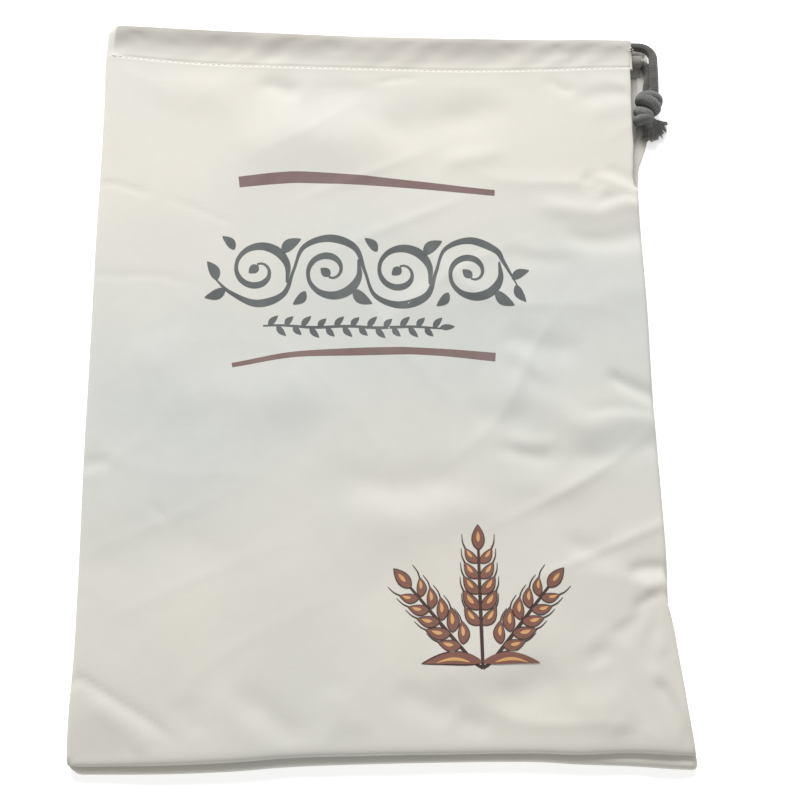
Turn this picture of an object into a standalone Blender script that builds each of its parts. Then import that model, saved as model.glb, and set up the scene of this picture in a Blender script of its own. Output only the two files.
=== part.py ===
"""A drawstring bread bag that lies flat and empty on its back, its printed front up.

One length of cloth is folded at the left side and sewn along the bottom and the right side. The mouth
hem is turned in as a casing, and one cord runs in it from a slit at the right, along the front, round
the left fold and back. Both ends of the cord leave at the slit and are tied in one knot.

X runs across the bag towards the side seam, Y towards the mouth and Z up. The origin is in the middle
of the bag's footprint, on the surface that it lies on. Sizes are in millimetres up to the last step.
"""

import math
from typing import NamedTuple

import bmesh
import bpy
import numpy as np
from mathutils import Matrix, Vector

MM = 0.001

# Cloth
CLOTH = 1.1
BODY_HEIGHT = 9.6
FOLD_INSET = 5.5
HEM_LAYERS = 2 * CLOTH + 0.1
HEM_ALLOWANCE = 1.5
SLIT_END = 101.9
SLIT_OVERRUN = 10.0
CORNER_RADII = {"top_left": 7.0, "bottom_left": 5.0, "bottom_right": 4.0}

# Drawstring and the casing round it
CORD_DIAMETER = 5.0
CORD_CLEARANCE = 0.35
TUNNEL_RADIUS = CORD_DIAMETER / 2 + CORD_CLEARANCE
LOOP_RADIUS = TUNNEL_RADIUS + CLOTH
MOUTH_GAP = 0.7
FRONT_CORD_DEPTH = LOOP_RADIUS + 0.2
BACK_CORD_DEPTH = 12.2
FRONT_CORD_HEIGHT = HEM_LAYERS + MOUTH_GAP + LOOP_RADIUS
BACK_CORD_HEIGHT = LOOP_RADIUS
CASING_CEILING = 2 * LOOP_RADIUS + MOUTH_GAP
OPEN_ABOVE = 16.0
SLIT_X = 145.0
LEG_START = 131.0
LEG_BEND_RADIUS = 8.5
FACE_GAP = 0.3


class At(NamedTuple):
    """One row of an edge or a profile: a place along it, and the value there."""

    along: float
    value: float


# X of the folded left side, by Y
LEFT_EDGE = [
    At(-202, -149.8),
    At(-193, -150.3),
    At(-163, -150.8),
    At(-143, -150.2),
    At(-111, -150.4),
    At(-79, -150.9),
    At(-45, -151.6),
    At(-10, -151.9),
    At(26, -152.2),
    At(76, -152.7),
    At(129, -152.7),
    At(156, -153.0),
    At(170, -153.5),
    At(184, -153.3),
    At(202, -152.4),
]

# X of the seam at the right and, past the slit's end, of the back's edge, by Y
RIGHT_EDGE = [
    At(-202, 153.2),
    At(-194, 152.7),
    At(-181, 150.2),
    At(-158, 147.9),
    At(-142, 146.2),
    At(-130, 145.0),
    At(-118, 142.9),
    At(-108, 143.2),
    At(-96, 143.8),
    At(-60, 144.0),
    At(-9, 143.6),
    At(40, 144.4),
    At(75, 144.3),
    At(101.9, 144.3),
    At(113, 145.0),
    At(119, 146.0),
    At(125, 148.5),
    At(136, 152.3),
    At(150, 153.8),
    At(170, 154.3),
    At(202, 154.5),
]

# How far inside the back's edge the front's edge is at the slit, by Y
SLIT_REACH = [
    At(101.9, 3.4),
    At(108, 4.7),
    At(117, 5.0),
    At(125, 7.2),
    At(136, 10.9),
    At(150, 12.0),
    At(166, 11.8),
    At(183, 11.2),
    At(202, 9.5),
]

# Y of the mouth's edge and of the lower edge, by X
TOP_EDGE = [
    At(-153, 202.4),
    At(-138, 202.2),
    At(-116, 201.5),
    At(-93, 200.8),
    At(-60, 200.3),
    At(-14, 199.6),
    At(31, 199.9),
    At(66, 200.3),
    At(101, 201.0),
    At(124, 201.8),
    At(148, 202.0),
]
BOTTOM_EDGE = [
    At(-151, -200.0),
    At(-98, -200.4),
    At(-73, -199.7),
    At(-47, -198.1),
    At(-13, -197.3),
    At(20, -197.0),
    At(56, -197.0),
    At(74, -197.4),
    At(91, -198.6),
    At(118, -199.9),
    At(144, -201.8),
    At(154, -202.2),
]

# Depth of the casing's stitching below the mouth's edge, by X
STITCH_DEPTH = [
    At(-153, 20.6),
    At(-115, 22.6),
    At(-68, 22.8),
    At(-11, 22.0),
    At(45, 22.3),
    At(100, 20.7),
    At(146, 19.1),
]

# Height of the front round the casing. 0 is the front cord, 1 the stitching, and past it 1 more is 10 mm
CASING_PROFILE = [
    At(0.0, 10.9),
    At(0.3, 11.1),
    At(0.6, 11.2),
    At(0.85, 11.0),
    At(1.0, 10.8),
    At(1.3, 10.5),
    At(2.2, 10.0),
    At(3.6, BODY_HEIGHT),
    At(50.0, BODY_HEIGHT),
]
STITCH_GROOVE = 0.6
GROOVE_SPREAD = 0.05

# How much more the casing stands up between the cord and the stitching, by X
CASING_CREST = [
    At(-153, 0.1),
    At(-105, 1.2),
    At(-60, 0.3),
    At(-5, 1.3),
    At(45, 0.4),
    At(100, 0.8),
    At(146, 0.1),
]
CREST_PLACE = 0.62
CREST_SPREAD = 0.24


class Fold(NamedTuple):
    """A trough or a ridge in the front: its two ends in plan, its half width and its height."""

    x0: float
    y0: float
    x1: float
    y1: float
    width: float
    height: float


FOLDS = [
    # the lower left corner
    Fold(-152, -151, -101, -188, 4.0, -1.5),
    Fold(-142, -132, -96, -170, 7.0, 0.6),
    Fold(-126, -191, -114, -197, 4.0, -0.8),
    Fold(-84, -158, -48, -188, 10.0, -0.7),
    # pleats at the right seam
    Fold(146, -104, 124, -103, 4.0, -1.4),
    Fold(146, -111.5, 122, -112, 4.0, 1.1),
    Fold(146, -119, 124, -122, 4.5, -1.6),
    Fold(124, -122, 110, -138, 6.0, -1.0),
    Fold(120, -5, 143, -12, 5.0, -1.2),
    Fold(90, -26, 144, -24, 6.0, 0.9),
    # the lower right corner
    Fold(137, -130, 147, -190, 7.0, 0.8),
    Fold(128, -174, 100, -194, 7.0, -1.0),
    Fold(11, -160, 33, -178, 6.0, -0.8),
    Fold(91, -162, 58, -181, 7.0, -0.7),
    # broad hollows and swells of the body
    Fold(72, 24, 134, -12, 18.0, -0.9),
    Fold(50, 34, 94, -8, 9.0, 0.6),
    Fold(-36, -68, 24, -26, 14.0, -0.8),
    Fold(0, -60, 134, -68, 15.0, 0.9),
    Fold(56, -91, 120, -96, 11.0, -0.7),
    Fold(104, 83, 138, 90, 9.0, -0.8),
    Fold(-56, 160, 28, 110, 15.0, 0.7),
    Fold(-118, 60, -111, -100, 24.0, 0.6),
    Fold(-18, -92, -2, -124, 13.0, -0.5),
    Fold(-110, -124, -60, -147, 13.0, 0.5),
    Fold(-70, 120, -20, 60, 22.0, -0.4),
    # below the casing and beside the slit
    Fold(-60, 165, -26, 161, 5.0, -0.6),
    Fold(10, 175, 36, 174, 5.0, -0.5),
    Fold(122, 161, 145, 165, 5.0, -0.8),
    Fold(124, 128, 143, 100, 6.0, -0.9),
    Fold(112, 112, 142, 96, 6.0, 0.6),
]

# Fraction of the way across and of the way up at which the front's mesh has its lines: from, to, steps
FRONT_COLUMNS = [(0.0, 0.06, 2), (0.06, 0.80, 20), (0.80, 1.0, 9)]
FRONT_ROWS = [(0.0, 0.09, 4), (0.09, 0.20, 3), (0.20, 0.29, 6), (0.29, 0.96, 21), (0.96, 1.0, 1)]
FRONT_CASING_ROWS = [1.8, 1.4, 1.14, 1.04, 1.0, 0.94, 0.8, 0.55, 0.3, 0.0]
HOLLOW_COLUMNS = [(0.0, 0.06, 2), (0.06, 0.80, 16), (0.80, 1.0, 8)]
HOLLOW_ROWS = [
    (0.0, 0.18, 6),
    (0.18, 0.285, 6),
    (0.285, 0.73, 12),
    (0.73, 0.76, 2),
    (0.76, 0.97, 6),
    (0.97, 1.0, 1),
]
FOLD_REACH = 3.0

# How each side turns down from the front to the surface below, in steps: each step's distance in from
# the edge, and its share of the height
STEPS_DOWN = 7


class Step(NamedTuple):
    """One step of a side on its way down."""

    inset: float
    share: float


BOTTOM_STEPS = [
    Step(8.0, 1.0),
    Step(6.0, 0.94),
    Step(4.6, 0.78),
    Step(3.8, 0.54),
    Step(2.5, 0.55),
    Step(0.9, 0.42),
    Step(0.0, 0.17),
    Step(0.5, 0.0),
]
BOTTOM_HOLLOW_STEPS = [
    Step(8.6, 1.0),
    Step(7.0, 0.90),
    Step(5.8, 0.70),
    Step(5.0, 0.48),
    Step(4.4, 0.30),
    Step(4.0, 0.16),
    Step(3.8, 0.07),
    Step(4.0, 0.0),
]
SEAM_STEPS = [
    Step(3.4, 1.0),
    Step(2.4, 0.93),
    Step(1.6, 0.78),
    Step(1.1, 0.56),
    Step(0.8, 0.36),
    Step(0.3, 0.25),
    Step(0.0, 0.14),
    Step(0.4, 0.0),
]
SEAM_HOLLOW_STEPS = [
    Step(4.6, 1.0),
    Step(3.8, 0.90),
    Step(3.1, 0.72),
    Step(2.6, 0.52),
    Step(2.3, 0.34),
    Step(2.1, 0.20),
    Step(2.0, 0.10),
    Step(2.3, 0.0),
]
CASING_END_STEPS = [
    Step(1.0, 1.0),
    Step(0.5, 0.94),
    Step(0.2, 0.80),
    Step(0.0, 0.60),
    Step(0.0, 0.40),
    Step(0.0, 0.25),
    Step(0.0, 0.12),
    Step(0.3, 0.0),
]


class Leg(NamedTuple):
    """One free leg of the drawstring: its cord in the casing, its bend and the rest of its way."""

    name: str
    depth: float
    height: float
    bend_x: float
    bend_rise: float
    rest: list[tuple[float, float, float]]


# Each leg runs straight out of the casing, bends a quarter turn towards the knot and ends at it
LEGS = [
    Leg(
        "drawstring_front_leg",
        FRONT_CORD_DEPTH,
        FRONT_CORD_HEIGHT,
        148.5,
        2.2,
        [(156.6, 184.6, 9.9), (156.4, 178.6, 10.2), (156.1, 173.0, 10.2), (155.9, 168.6, 10.0)],
    ),
    Leg(
        "drawstring_back_leg",
        BACK_CORD_DEPTH,
        BACK_CORD_HEIGHT,
        147.1,
        0.7,
        [(155.0, 178.0, 4.9), (154.0, 174.6, 5.1), (153.4, 171.4, 5.1), (153.2, 168.6, 5.1)],
    ),
]
LEG_POINTS = 18
RUN_STEP = 12.0
TURN_POINTS = 7


class Wrap(NamedTuple):
    """One turn of cord round the knot: its middle, its ring's radius and its turn about Z."""

    x: float
    y: float
    ring: float
    turn: float


KNOT_WRAPS = [
    Wrap(152.6, 165.0, 5.2, 6.0),
    Wrap(152.2, 159.9, 5.3, 12.0),
    Wrap(149.9, 154.4, 4.4, -10.0),
    Wrap(149.9, 149.7, 4.0, -16.0),
]
KNOT_HEIGHT = 7.7
KNOT_FLATTENING = 0.8
KNOT_CORD_RADIUS = 2.7
KNOT_CORE = (5.2, 9.0, 4.8)
KNOT_CORE_PLACE = (151.2, 157.5)


class FrayedEnd(NamedTuple):
    """A cut end of the cord: where it leaves the knot, its heading, its reach and what it lies on."""

    name: str
    x: float
    y: float
    height: float
    heading: float
    reach: float
    rest_height: float


FRAYED_ENDS = [
    FrayedEnd("frayed_end_right", 157.6, 149.0, 4.4, -28.0, 5.6, 0.6),
    FrayedEnd("frayed_end_low", 153.0, 144.3, 4.5, -88.0, 5.4, 2.0),
]
STUB_RADIUS = 2.6
STUB_LENGTH = 1.6
STRAND_RADIUS = 0.42
STRAND_ROOT_SINK = 0.7
STRAND_ROWS = [-1.35, 0.0, 1.35]
STRAND_ROW_RISE = 1.1
STRANDS_A_ROW = 6
STRAND_PITCH = 0.74
STRAND_FAN = 64.0


def clear_scene() -> None:
    """Removes whatever the file holds."""
    for obj in list(bpy.data.objects):
        bpy.data.objects.remove(obj, do_unlink=True)


def material(name: str, colour: tuple[float, float, float], roughness: float) -> bpy.types.Material:
    """Returns a cloth or cord material of one colour."""
    made = bpy.data.materials.new(name)
    made.use_nodes = True
    shader = made.node_tree.nodes["Principled BSDF"]
    shader.inputs["Base Color"].default_value = (*colour, 1.0)
    shader.inputs["Roughness"].default_value = roughness
    shader.inputs["Metallic"].default_value = 0.0
    return made


def smooth(rows: list[At], along: float) -> float:
    """Returns the value at one place of a table, on a smooth curve through its rows."""
    places = [row.along for row in rows]
    values = [row.value for row in rows]
    if along <= places[0]:
        return values[0]
    if along >= places[-1]:
        return values[-1]
    slopes = np.gradient(values, places)
    left = int(np.searchsorted(places, along)) - 1
    span = places[left + 1] - places[left]
    t = (along - places[left]) / span
    rise = values[left + 1] - values[left]
    slope_in = slopes[left] * span
    slope_out = slopes[left + 1] * span
    return float(
        values[left]
        + t * slope_in
        + t**2 * (3 * rise - 2 * slope_in - slope_out)
        + t**3 * (slope_in + slope_out - 2 * rise)
    )


def graded(spans: list[tuple[float, float, int]]) -> list[float]:
    """Returns the fractions that spans of even steps give, both ends included."""
    fractions = [spans[0][0]]
    for start, end, steps in spans:
        fractions += [start + (end - start) * k / steps for k in range(1, steps + 1)]
    return fractions


def front_edge(y: float) -> float:
    """Returns X of the front's edge at the slit."""
    return smooth(RIGHT_EDGE, y) - smooth(SLIT_REACH, y)


def casing_place(x: float, y: float) -> float:
    """Returns where a point lies in the casing profile's own measure."""
    depth = smooth(TOP_EDGE, x) - y
    stitching = smooth(STITCH_DEPTH, x)
    if depth < stitching:
        return (depth - FRONT_CORD_DEPTH) / (stitching - FRONT_CORD_DEPTH)
    return 1 + (depth - stitching) / 10


def casing_depth(x: float, place: float) -> float:
    """Returns the depth below the mouth's edge of a place in the casing profile's measure."""
    stitching = smooth(STITCH_DEPTH, x)
    if place < 1:
        return FRONT_CORD_DEPTH + place * (stitching - FRONT_CORD_DEPTH)
    return stitching + 10 * (place - 1)


def fold_height(fold: Fold, x: float, y: float) -> float:
    """Returns what one fold adds at a point. It fades across its width and past its ends."""
    along_x = fold.x1 - fold.x0
    along_y = fold.y1 - fold.y0
    length = math.hypot(along_x, along_y)
    t = ((x - fold.x0) * along_x + (y - fold.y0) * along_y) / length**2
    nearest = min(max(t, 0.0), 1.0)
    away = math.hypot(x - fold.x0 - nearest * along_x, y - fold.y0 - nearest * along_y)
    return fold.height * math.exp(-((away / fold.width) ** 2))


def front_height(x: float, y: float) -> float:
    """Returns how high the front's outer face is above the surface that the bag lies on."""
    place = casing_place(x, y)
    height = smooth(CASING_PROFILE, place)
    height += smooth(CASING_CREST, x) * math.exp(-(((place - CREST_PLACE) / CREST_SPREAD) ** 2))
    from_fold = min(max((x - smooth(LEFT_EDGE, y) - FOLD_INSET) / 8, 0.0), 1.0)
    height -= from_fold * STITCH_GROOVE * math.exp(-(((place - 1) / GROOVE_SPREAD) ** 2))
    below_casing = min(max((place - 1.05) / 1.2, 0.0), 1.0)
    return height + below_casing * sum(fold_height(fold, x, y) for fold in FOLDS)


def lowest_near(x: float, y: float) -> float:
    """Returns the front's lowest height round a point, so that the inside stays below every fold."""
    around = (-FOLD_REACH, 0.0, FOLD_REACH)
    return min(front_height(x + dx, y + dy) for dx in around for dy in around)


def rounded_corner(across: float, down: float, radius: float) -> tuple[float, float]:
    """Draws a point near a square corner in, so that the corner's edge becomes an arc."""
    if across >= radius or down >= radius:
        return across, down
    s = 1 - across / radius
    t = 1 - down / radius
    return (
        radius * (1 - s * math.sqrt(max(1 - t * t / 2, 0.0))),
        radius * (1 - t * math.sqrt(max(1 - s * s / 2, 0.0))),
    )


def with_rounded_corners(x: float, y: float) -> tuple[float, float]:
    """Returns the plan point with the bag's three round corners taken off."""
    left = x - smooth(LEFT_EDGE, y)
    right = smooth(RIGHT_EDGE, y) - x
    top = smooth(TOP_EDGE, x) - y
    bottom = y - smooth(BOTTOM_EDGE, x)
    if top < CORNER_RADII["top_left"] and left < CORNER_RADII["top_left"]:
        across, down = rounded_corner(left, top, CORNER_RADII["top_left"])
        return x + across - left, y + top - down
    if bottom < CORNER_RADII["bottom_left"] and left < CORNER_RADII["bottom_left"]:
        across, down = rounded_corner(left, bottom, CORNER_RADII["bottom_left"])
        return x + across - left, y - bottom + down
    if bottom < CORNER_RADII["bottom_right"] and right < CORNER_RADII["bottom_right"]:
        across, down = rounded_corner(right, bottom, CORNER_RADII["bottom_right"])
        return x - across + right, y - bottom + down
    return x, y


class Shell:
    """A closed pillow: a grid over the front, and steps that turn down from its rim to one flat face."""

    def __init__(self, columns: list[float], rows: list[float], casing_rows: list[float], wall: float):
        self.columns = columns
        self.body_rows = rows
        self.casing_rows = casing_rows
        self.wall = wall
        self.row_count = len(rows) + len(casing_rows)

    def is_hollow(self) -> bool:
        """True for the bag's inside, False for its outer skin."""
        return self.wall > 0

    def left_step(self, step: int, height: float) -> tuple[float, float]:
        """Inset and height at the folded side, which is half round."""
        angle = math.pi / 2 - math.pi * step / STEPS_DOWN
        across = (FOLD_INSET - self.wall) * math.cos(angle)
        up = (height / 2 - self.wall) * math.sin(angle)
        return FOLD_INSET - across, height / 2 + up

    def stepped(self, steps: list[Step], step: int, height: float) -> tuple[float, float]:
        """Inset and height of one step of a side that has a table."""
        return steps[step].inset, self.wall + steps[step].share * (height - 2 * self.wall)

    def bottom_step(self, step: int, height: float) -> tuple[float, float]:
        """Inset and height at the lower edge."""
        return self.stepped(BOTTOM_HOLLOW_STEPS if self.is_hollow() else BOTTOM_STEPS, step, height)

    def right_step(self, step: int, height: float, y: float, in_casing: bool) -> tuple[float, float]:
        """Inset from the outermost edge, and height, at the seam, the slit or the casing's end."""
        if in_casing:
            return self.stepped(CASING_END_STEPS, step, height)
        if y <= SLIT_END:
            return self.stepped(SEAM_HOLLOW_STEPS if self.is_hollow() else SEAM_STEPS, step, height)
        if self.is_hollow():
            return -SLIT_OVERRUN, self.stepped(SEAM_HOLLOW_STEPS, step, height)[1]
        reach = smooth(SLIT_REACH, y)
        insets = [reach + 0.9, reach + 0.3, reach, reach, 0.6 * reach, 0.3, 0.0, 0.3]
        heights = [height, height - 0.25, height - 0.8, height - 1.6, height - 4.0, 1.6, 0.8, 0.0]
        return insets[step], heights[step]

    def top_step(self, x: float, step: int, height: float) -> tuple[float, float]:
        """Inset and height at the mouth: round the front cord outside, straight down inside."""
        if self.is_hollow():
            inset = smooth(STITCH_DEPTH, x) + HEM_ALLOWANCE
            return inset, self.stepped(SEAM_HOLLOW_STEPS, step, height)[1]
        if step <= 4:
            angle = math.radians(27 * step)
            inset = FRONT_CORD_DEPTH - LOOP_RADIUS * math.sin(angle)
            up = height if step == 0 else FRONT_CORD_HEIGHT + LOOP_RADIUS * math.cos(angle)
            return inset, up
        return [(0.2, 3.2), (0.0, 1.2), (0.4, 0.0)][step - 5]

    def plan(self, column: int, row: int, step: int) -> tuple[float, float]:
        """Returns the plan point of a grid crossing, or of a rim point at one of the steps down."""
        in_casing = row >= len(self.body_rows)
        if in_casing:
            y = 200 - casing_depth(0, self.casing_rows[row - len(self.body_rows)])
        else:
            y = -200 + (400 - 30) * self.body_rows[row]
        casing_end = in_casing and self.casing_rows[row - len(self.body_rows)] < 1.02
        left = smooth(LEFT_EDGE, y) + self.left_step(step, BODY_HEIGHT)[0]
        right = smooth(RIGHT_EDGE, y) - self.right_step(step, BODY_HEIGHT, y, casing_end)[0]
        x = left + (right - left) * self.columns[column]
        top = smooth(TOP_EDGE, x)
        bottom = smooth(BOTTOM_EDGE, x)
        if row == 0:
            y = bottom + self.bottom_step(step, BODY_HEIGHT)[0]
        elif row == self.row_count - 1:
            y = top - self.top_step(x, step, BODY_HEIGHT)[0]
        elif in_casing:
            y = top - casing_depth(x, self.casing_rows[row - len(self.body_rows)])
        else:
            low = bottom + self.bottom_step(0, BODY_HEIGHT)[0]
            if self.casing_rows:
                high = top - casing_depth(x, self.casing_rows[0]) - 8
            else:
                high = top - self.top_step(x, 0, BODY_HEIGHT)[0]
            y = low + (high - low) * self.body_rows[row]
        return with_rounded_corners(x, y)

    def rim_height(self, column: int, row: int, step: int, height: float) -> float:
        """Returns the height of a rim point at one step down, the mean of both sides at a corner."""
        x, y = self.plan(column, row, step)
        heights = []
        if column == 0:
            heights.append(self.left_step(step, height)[1])
        if column == len(self.columns) - 1:
            casing_end = row >= len(self.body_rows) and self.casing_rows[row - len(self.body_rows)] < 1.02
            heights.append(self.right_step(step, height, y, casing_end)[1])
        if row == 0:
            heights.append(self.bottom_step(step, height)[1])
        if row == self.row_count - 1:
            heights.append(self.top_step(x, step, height)[1])
        return sum(heights) / len(heights)

    def rim(self) -> list[tuple[int, int]]:
        """Returns the rim's columns and rows in order, anticlockwise from the lower left corner."""
        last_column = len(self.columns) - 1
        last_row = self.row_count - 1
        points = [(c, 0) for c in range(last_column)]
        points += [(last_column, r) for r in range(last_row)]
        points += [(c, last_row) for c in range(last_column, 0, -1)]
        points += [(0, r) for r in range(last_row, 0, -1)]
        return points

    def mesh(self, name: str) -> bpy.types.Mesh:
        """Builds the closed mesh in metres."""
        bm = bmesh.new()
        grid = []
        heights = {}
        for row in range(self.row_count):
            grid.append([])
            for column in range(len(self.columns)):
                x, y = self.plan(column, row, 0)
                height = lowest_near(x, y) if self.is_hollow() else front_height(x, y)
                heights[column, row] = height
                grid[row].append(bm.verts.new(Vector((x, y, height - self.wall)) * MM))
        for row in range(self.row_count - 1):
            for column in range(len(self.columns) - 1):
                corners = (
                    grid[row][column],
                    grid[row][column + 1],
                    grid[row + 1][column + 1],
                    grid[row + 1][column],
                )
                bm.faces.new(corners)
        rim = self.rim()
        above = [grid[row][column] for column, row in rim]
        for step in range(1, STEPS_DOWN + 1):
            below = []
            for column, row in rim:
                x, y = self.plan(column, row, step)
                z = self.rim_height(column, row, step, heights[column, row])
                below.append(bm.verts.new(Vector((x, y, z)) * MM))
            for k in range(len(rim)):
                after = (k + 1) % len(rim)
                bm.faces.new((above[k], below[k], below[after], above[after]))
            above = below
        bm.faces.new(list(reversed(above)))
        made = bpy.data.meshes.new(name)
        bm.to_mesh(made)
        bm.free()
        return made


def add_object(name: str, data: bpy.types.ID, look: bpy.types.Material | None = None) -> bpy.types.Object:
    """Links a new object to the scene, with its material."""
    obj = bpy.data.objects.new(name, data)
    bpy.context.scene.collection.objects.link(obj)
    if look:
        obj.data.materials.append(look)
    return obj


def as_cutter(obj: bpy.types.Object) -> bpy.types.Object:
    """Keeps a helper out of the finished bag."""
    obj.hide_render = True
    obj.display_type = "WIRE"
    return obj


def prism(name: str, sections: list[list[tuple[float, float, float]]]) -> bpy.types.Object:
    """Returns a closed solid through sections of equally many points, with flat ends."""
    bm = bmesh.new()
    loops = [[bm.verts.new(Vector(point) * MM) for point in section] for section in sections]
    for first, second in zip(loops, loops[1:]):
        for k in range(len(first)):
            after = (k + 1) % len(first)
            bm.faces.new((first[k], first[after], second[after], second[k]))
    bm.faces.new(list(reversed(loops[0])))
    bm.faces.new(loops[-1])
    bmesh.ops.recalc_face_normals(bm, faces=bm.faces)
    made = bpy.data.meshes.new(name)
    bm.to_mesh(made)
    bm.free()
    return add_object(name, made)


def arc(
    centre: tuple[float, float],
    radius: float,
    start: float,
    end: float,
    steps: int,
) -> list[tuple[float, float]]:
    """Returns points on an arc in the plane of depth and height, by angles in degrees."""
    points = []
    for k in range(steps + 1):
        angle = math.radians(start + (end - start) * k / steps)
        points.append((centre[0] + radius * math.cos(angle), centre[1] + radius * math.sin(angle)))
    return points


def back_loop(x: float) -> tuple[float, float, float]:
    """Depth, height and half width of the cloth round the back cord, which bends at its end."""
    leg = LEGS[1]
    turned = min(max((x - leg.bend_x) / LEG_BEND_RADIUS, 0.0), 0.82)
    cosine = math.sqrt(1 - turned**2)
    depth = BACK_CORD_DEPTH + LEG_BEND_RADIUS * (1 - cosine)
    height = BACK_CORD_HEIGHT + leg.bend_rise * math.asin(turned) / (math.pi / 2)
    return depth, height, LOOP_RADIUS / cosine


def mouth_section(x: float, in_slit: bool = False) -> list[tuple[float, float]]:
    """Depth and height round the gap between the two casings, which winds between their cords.

    Past the front's edge at the slit there is no front casing, so the space is open above.
    """
    hem_end = smooth(STITCH_DEPTH, x) + HEM_ALLOWANCE + 0.6
    upper = [(-4.0, FRONT_CORD_HEIGHT)]
    upper += arc((FRONT_CORD_DEPTH, FRONT_CORD_HEIGHT), LOOP_RADIUS, 180, 345, 7)
    upper += [(9.2, CASING_CEILING), (BACK_CORD_DEPTH, CASING_CEILING), (hem_end, CASING_CEILING)]
    if in_slit:
        upper = [(depth, OPEN_ABOVE) for depth, _ in upper]
    depth, height, half_width = back_loop(x)
    foot = math.asin((HEM_LAYERS - height) / LOOP_RADIUS)
    lower = [(hem_end, HEM_LAYERS)]
    for k in range(9):
        angle = foot + (math.pi - 2 * foot) * k / 8
        across = depth + half_width * math.cos(angle)
        up = height + LOOP_RADIUS * math.sin(angle)
        if across > hem_end - 0.1:
            across = hem_end - 0.02 * (k + 1)
            up = HEM_LAYERS
        lower.append((across, up))
    lower += [(-4.0, HEM_LAYERS)]
    return upper + lower


def front_layer_section(x: float) -> list[tuple[float, float]]:
    """Depth and height round the narrow space between the front casing's two layers."""
    low = CASING_CEILING + CLOTH
    stitching = smooth(STITCH_DEPTH, x)
    crest = low + 0.35 + 0.8 * smooth(CASING_CREST, x)
    return [
        (FRONT_CORD_DEPTH + 1.0, low - 1.4),
        (FRONT_CORD_DEPTH + 1.0, low - 0.1),
        (9.5, low + 0.3),
        (BACK_CORD_DEPTH, crest),
        (stitching - 1.6, low + 0.25),
        (stitching - 1.6, low),
        (8.2, low),
        (6.6, low - 1.4),
    ]


def placed(section: list[tuple[float, float]], x: float) -> list[tuple[float, float, float]]:
    """Puts a section of depths and heights across the mouth's edge at one X."""
    top = smooth(TOP_EDGE, x)
    return [(x, top - depth, height) for depth, height in section]


def placed_at_slit(section: list[tuple[float, float]], past: float) -> list[tuple[float, float, float]]:
    """Puts a section along the front's slanting edge at the slit, or a little past it."""
    top = smooth(TOP_EDGE, SLIT_X)
    points = [(top - depth, height) for depth, height in section]
    return [(front_edge(y) + past, y, height) for y, height in points]


def mouth_cutter() -> bpy.types.Object:
    """The gap between the casings, and past the front's edge all the space over the back's casing."""
    start = turn_middle()[0] + 1.6
    sections = []
    for k in range(23):
        x = start + (SLIT_X - 4 - start) * k / 22
        sections.append(placed(mouth_section(x), x))
    sections.append(placed_at_slit(mouth_section(SLIT_X), 0.0))
    sections.append(placed_at_slit(mouth_section(SLIT_X, in_slit=True), 0.02))
    for x in (147.5, 149.2, 150.8, 152.2, 153.4, 154.2, 156.0, 166.0):
        sections.append(placed(mouth_section(x, in_slit=True), x))
    return as_cutter(prism("mouth_cutter", sections))


def casing_layers_cutter() -> bpy.types.Object:
    """The narrow space between the front casing's two layers."""
    start = turn_middle()[0] + 1.6
    sections = []
    for k in range(25):
        x = start + (SLIT_X + 20 - start) * k / 24
        sections.append(placed(front_layer_section(x), x))
    return as_cutter(prism("casing_layers_cutter", sections))


def turn_middle() -> tuple[float, float, float]:
    """X of the middle of the cord's turn at the left fold, its half height and its half depth."""
    half_height = (FRONT_CORD_HEIGHT - BACK_CORD_HEIGHT) / 2
    half_depth = (BACK_CORD_DEPTH - FRONT_CORD_DEPTH) / 2
    radius = math.hypot(half_height, half_depth)
    x = smooth(LEFT_EDGE, 192) + CLOTH + 0.15 + TUNNEL_RADIUS + radius
    return x, half_height, half_depth


def casing_route(front_end: float, back_end: float) -> list[tuple[float, float, float]]:
    """Returns the cord's route in the casing: in along the front, round the fold, out along the back."""
    turn_x, half_height, half_depth = turn_middle()
    radius = math.hypot(half_height, half_depth)
    steps = round((front_end - turn_x) / RUN_STEP)
    route = []
    for k in range(steps):
        x = front_end + (turn_x - front_end) * k / steps
        route.append((x, smooth(TOP_EDGE, x) - FRONT_CORD_DEPTH, FRONT_CORD_HEIGHT))
    middle_height = (FRONT_CORD_HEIGHT + BACK_CORD_HEIGHT) / 2
    middle_y = smooth(TOP_EDGE, turn_x) - (FRONT_CORD_DEPTH + BACK_CORD_DEPTH) / 2
    for k in range(TURN_POINTS):
        angle = math.pi * k / (TURN_POINTS - 1)
        x = turn_x - radius * math.sin(angle)
        y = middle_y + half_depth * math.cos(angle)
        route.append((x, y, middle_height + half_height * math.cos(angle)))
    steps = round((back_end - turn_x) / RUN_STEP)
    for k in range(1, steps + 1):
        x = turn_x + (back_end - turn_x) * k / steps
        route.append((x, smooth(TOP_EDGE, x) - BACK_CORD_DEPTH, BACK_CORD_HEIGHT))
    return route


def smooth_route(route: list[tuple[float, float, float]], count: int) -> list[Vector]:
    """Returns evenly spaced points on a smooth curve through a route's own points."""
    knots = [Vector(point) for point in route]
    knots = [2 * knots[0] - knots[1], *knots, 2 * knots[-1] - knots[-2]]
    fine = []
    for before, start, end, after in zip(knots, knots[1:], knots[2:], knots[3:]):
        for k in range(12):
            t = k / 12
            fine.append(
                0.5
                * (
                    2 * start
                    + (end - before) * t
                    + (2 * before - 5 * start + 4 * end - after) * t**2
                    + (3 * start - before - 3 * end + after) * t**3
                )
            )
    fine.append(knots[-2])
    lengths = [0.0]
    for first, second in zip(fine, fine[1:]):
        lengths.append(lengths[-1] + (second - first).length)
    points = []
    for k in range(count):
        wanted = lengths[-1] * k / (count - 1)
        left = min(max(int(np.searchsorted(lengths, wanted)) - 1, 0), len(fine) - 2)
        share = (wanted - lengths[left]) / (lengths[left + 1] - lengths[left])
        points.append(fine[left].lerp(fine[left + 1], share))
    return points


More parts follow.
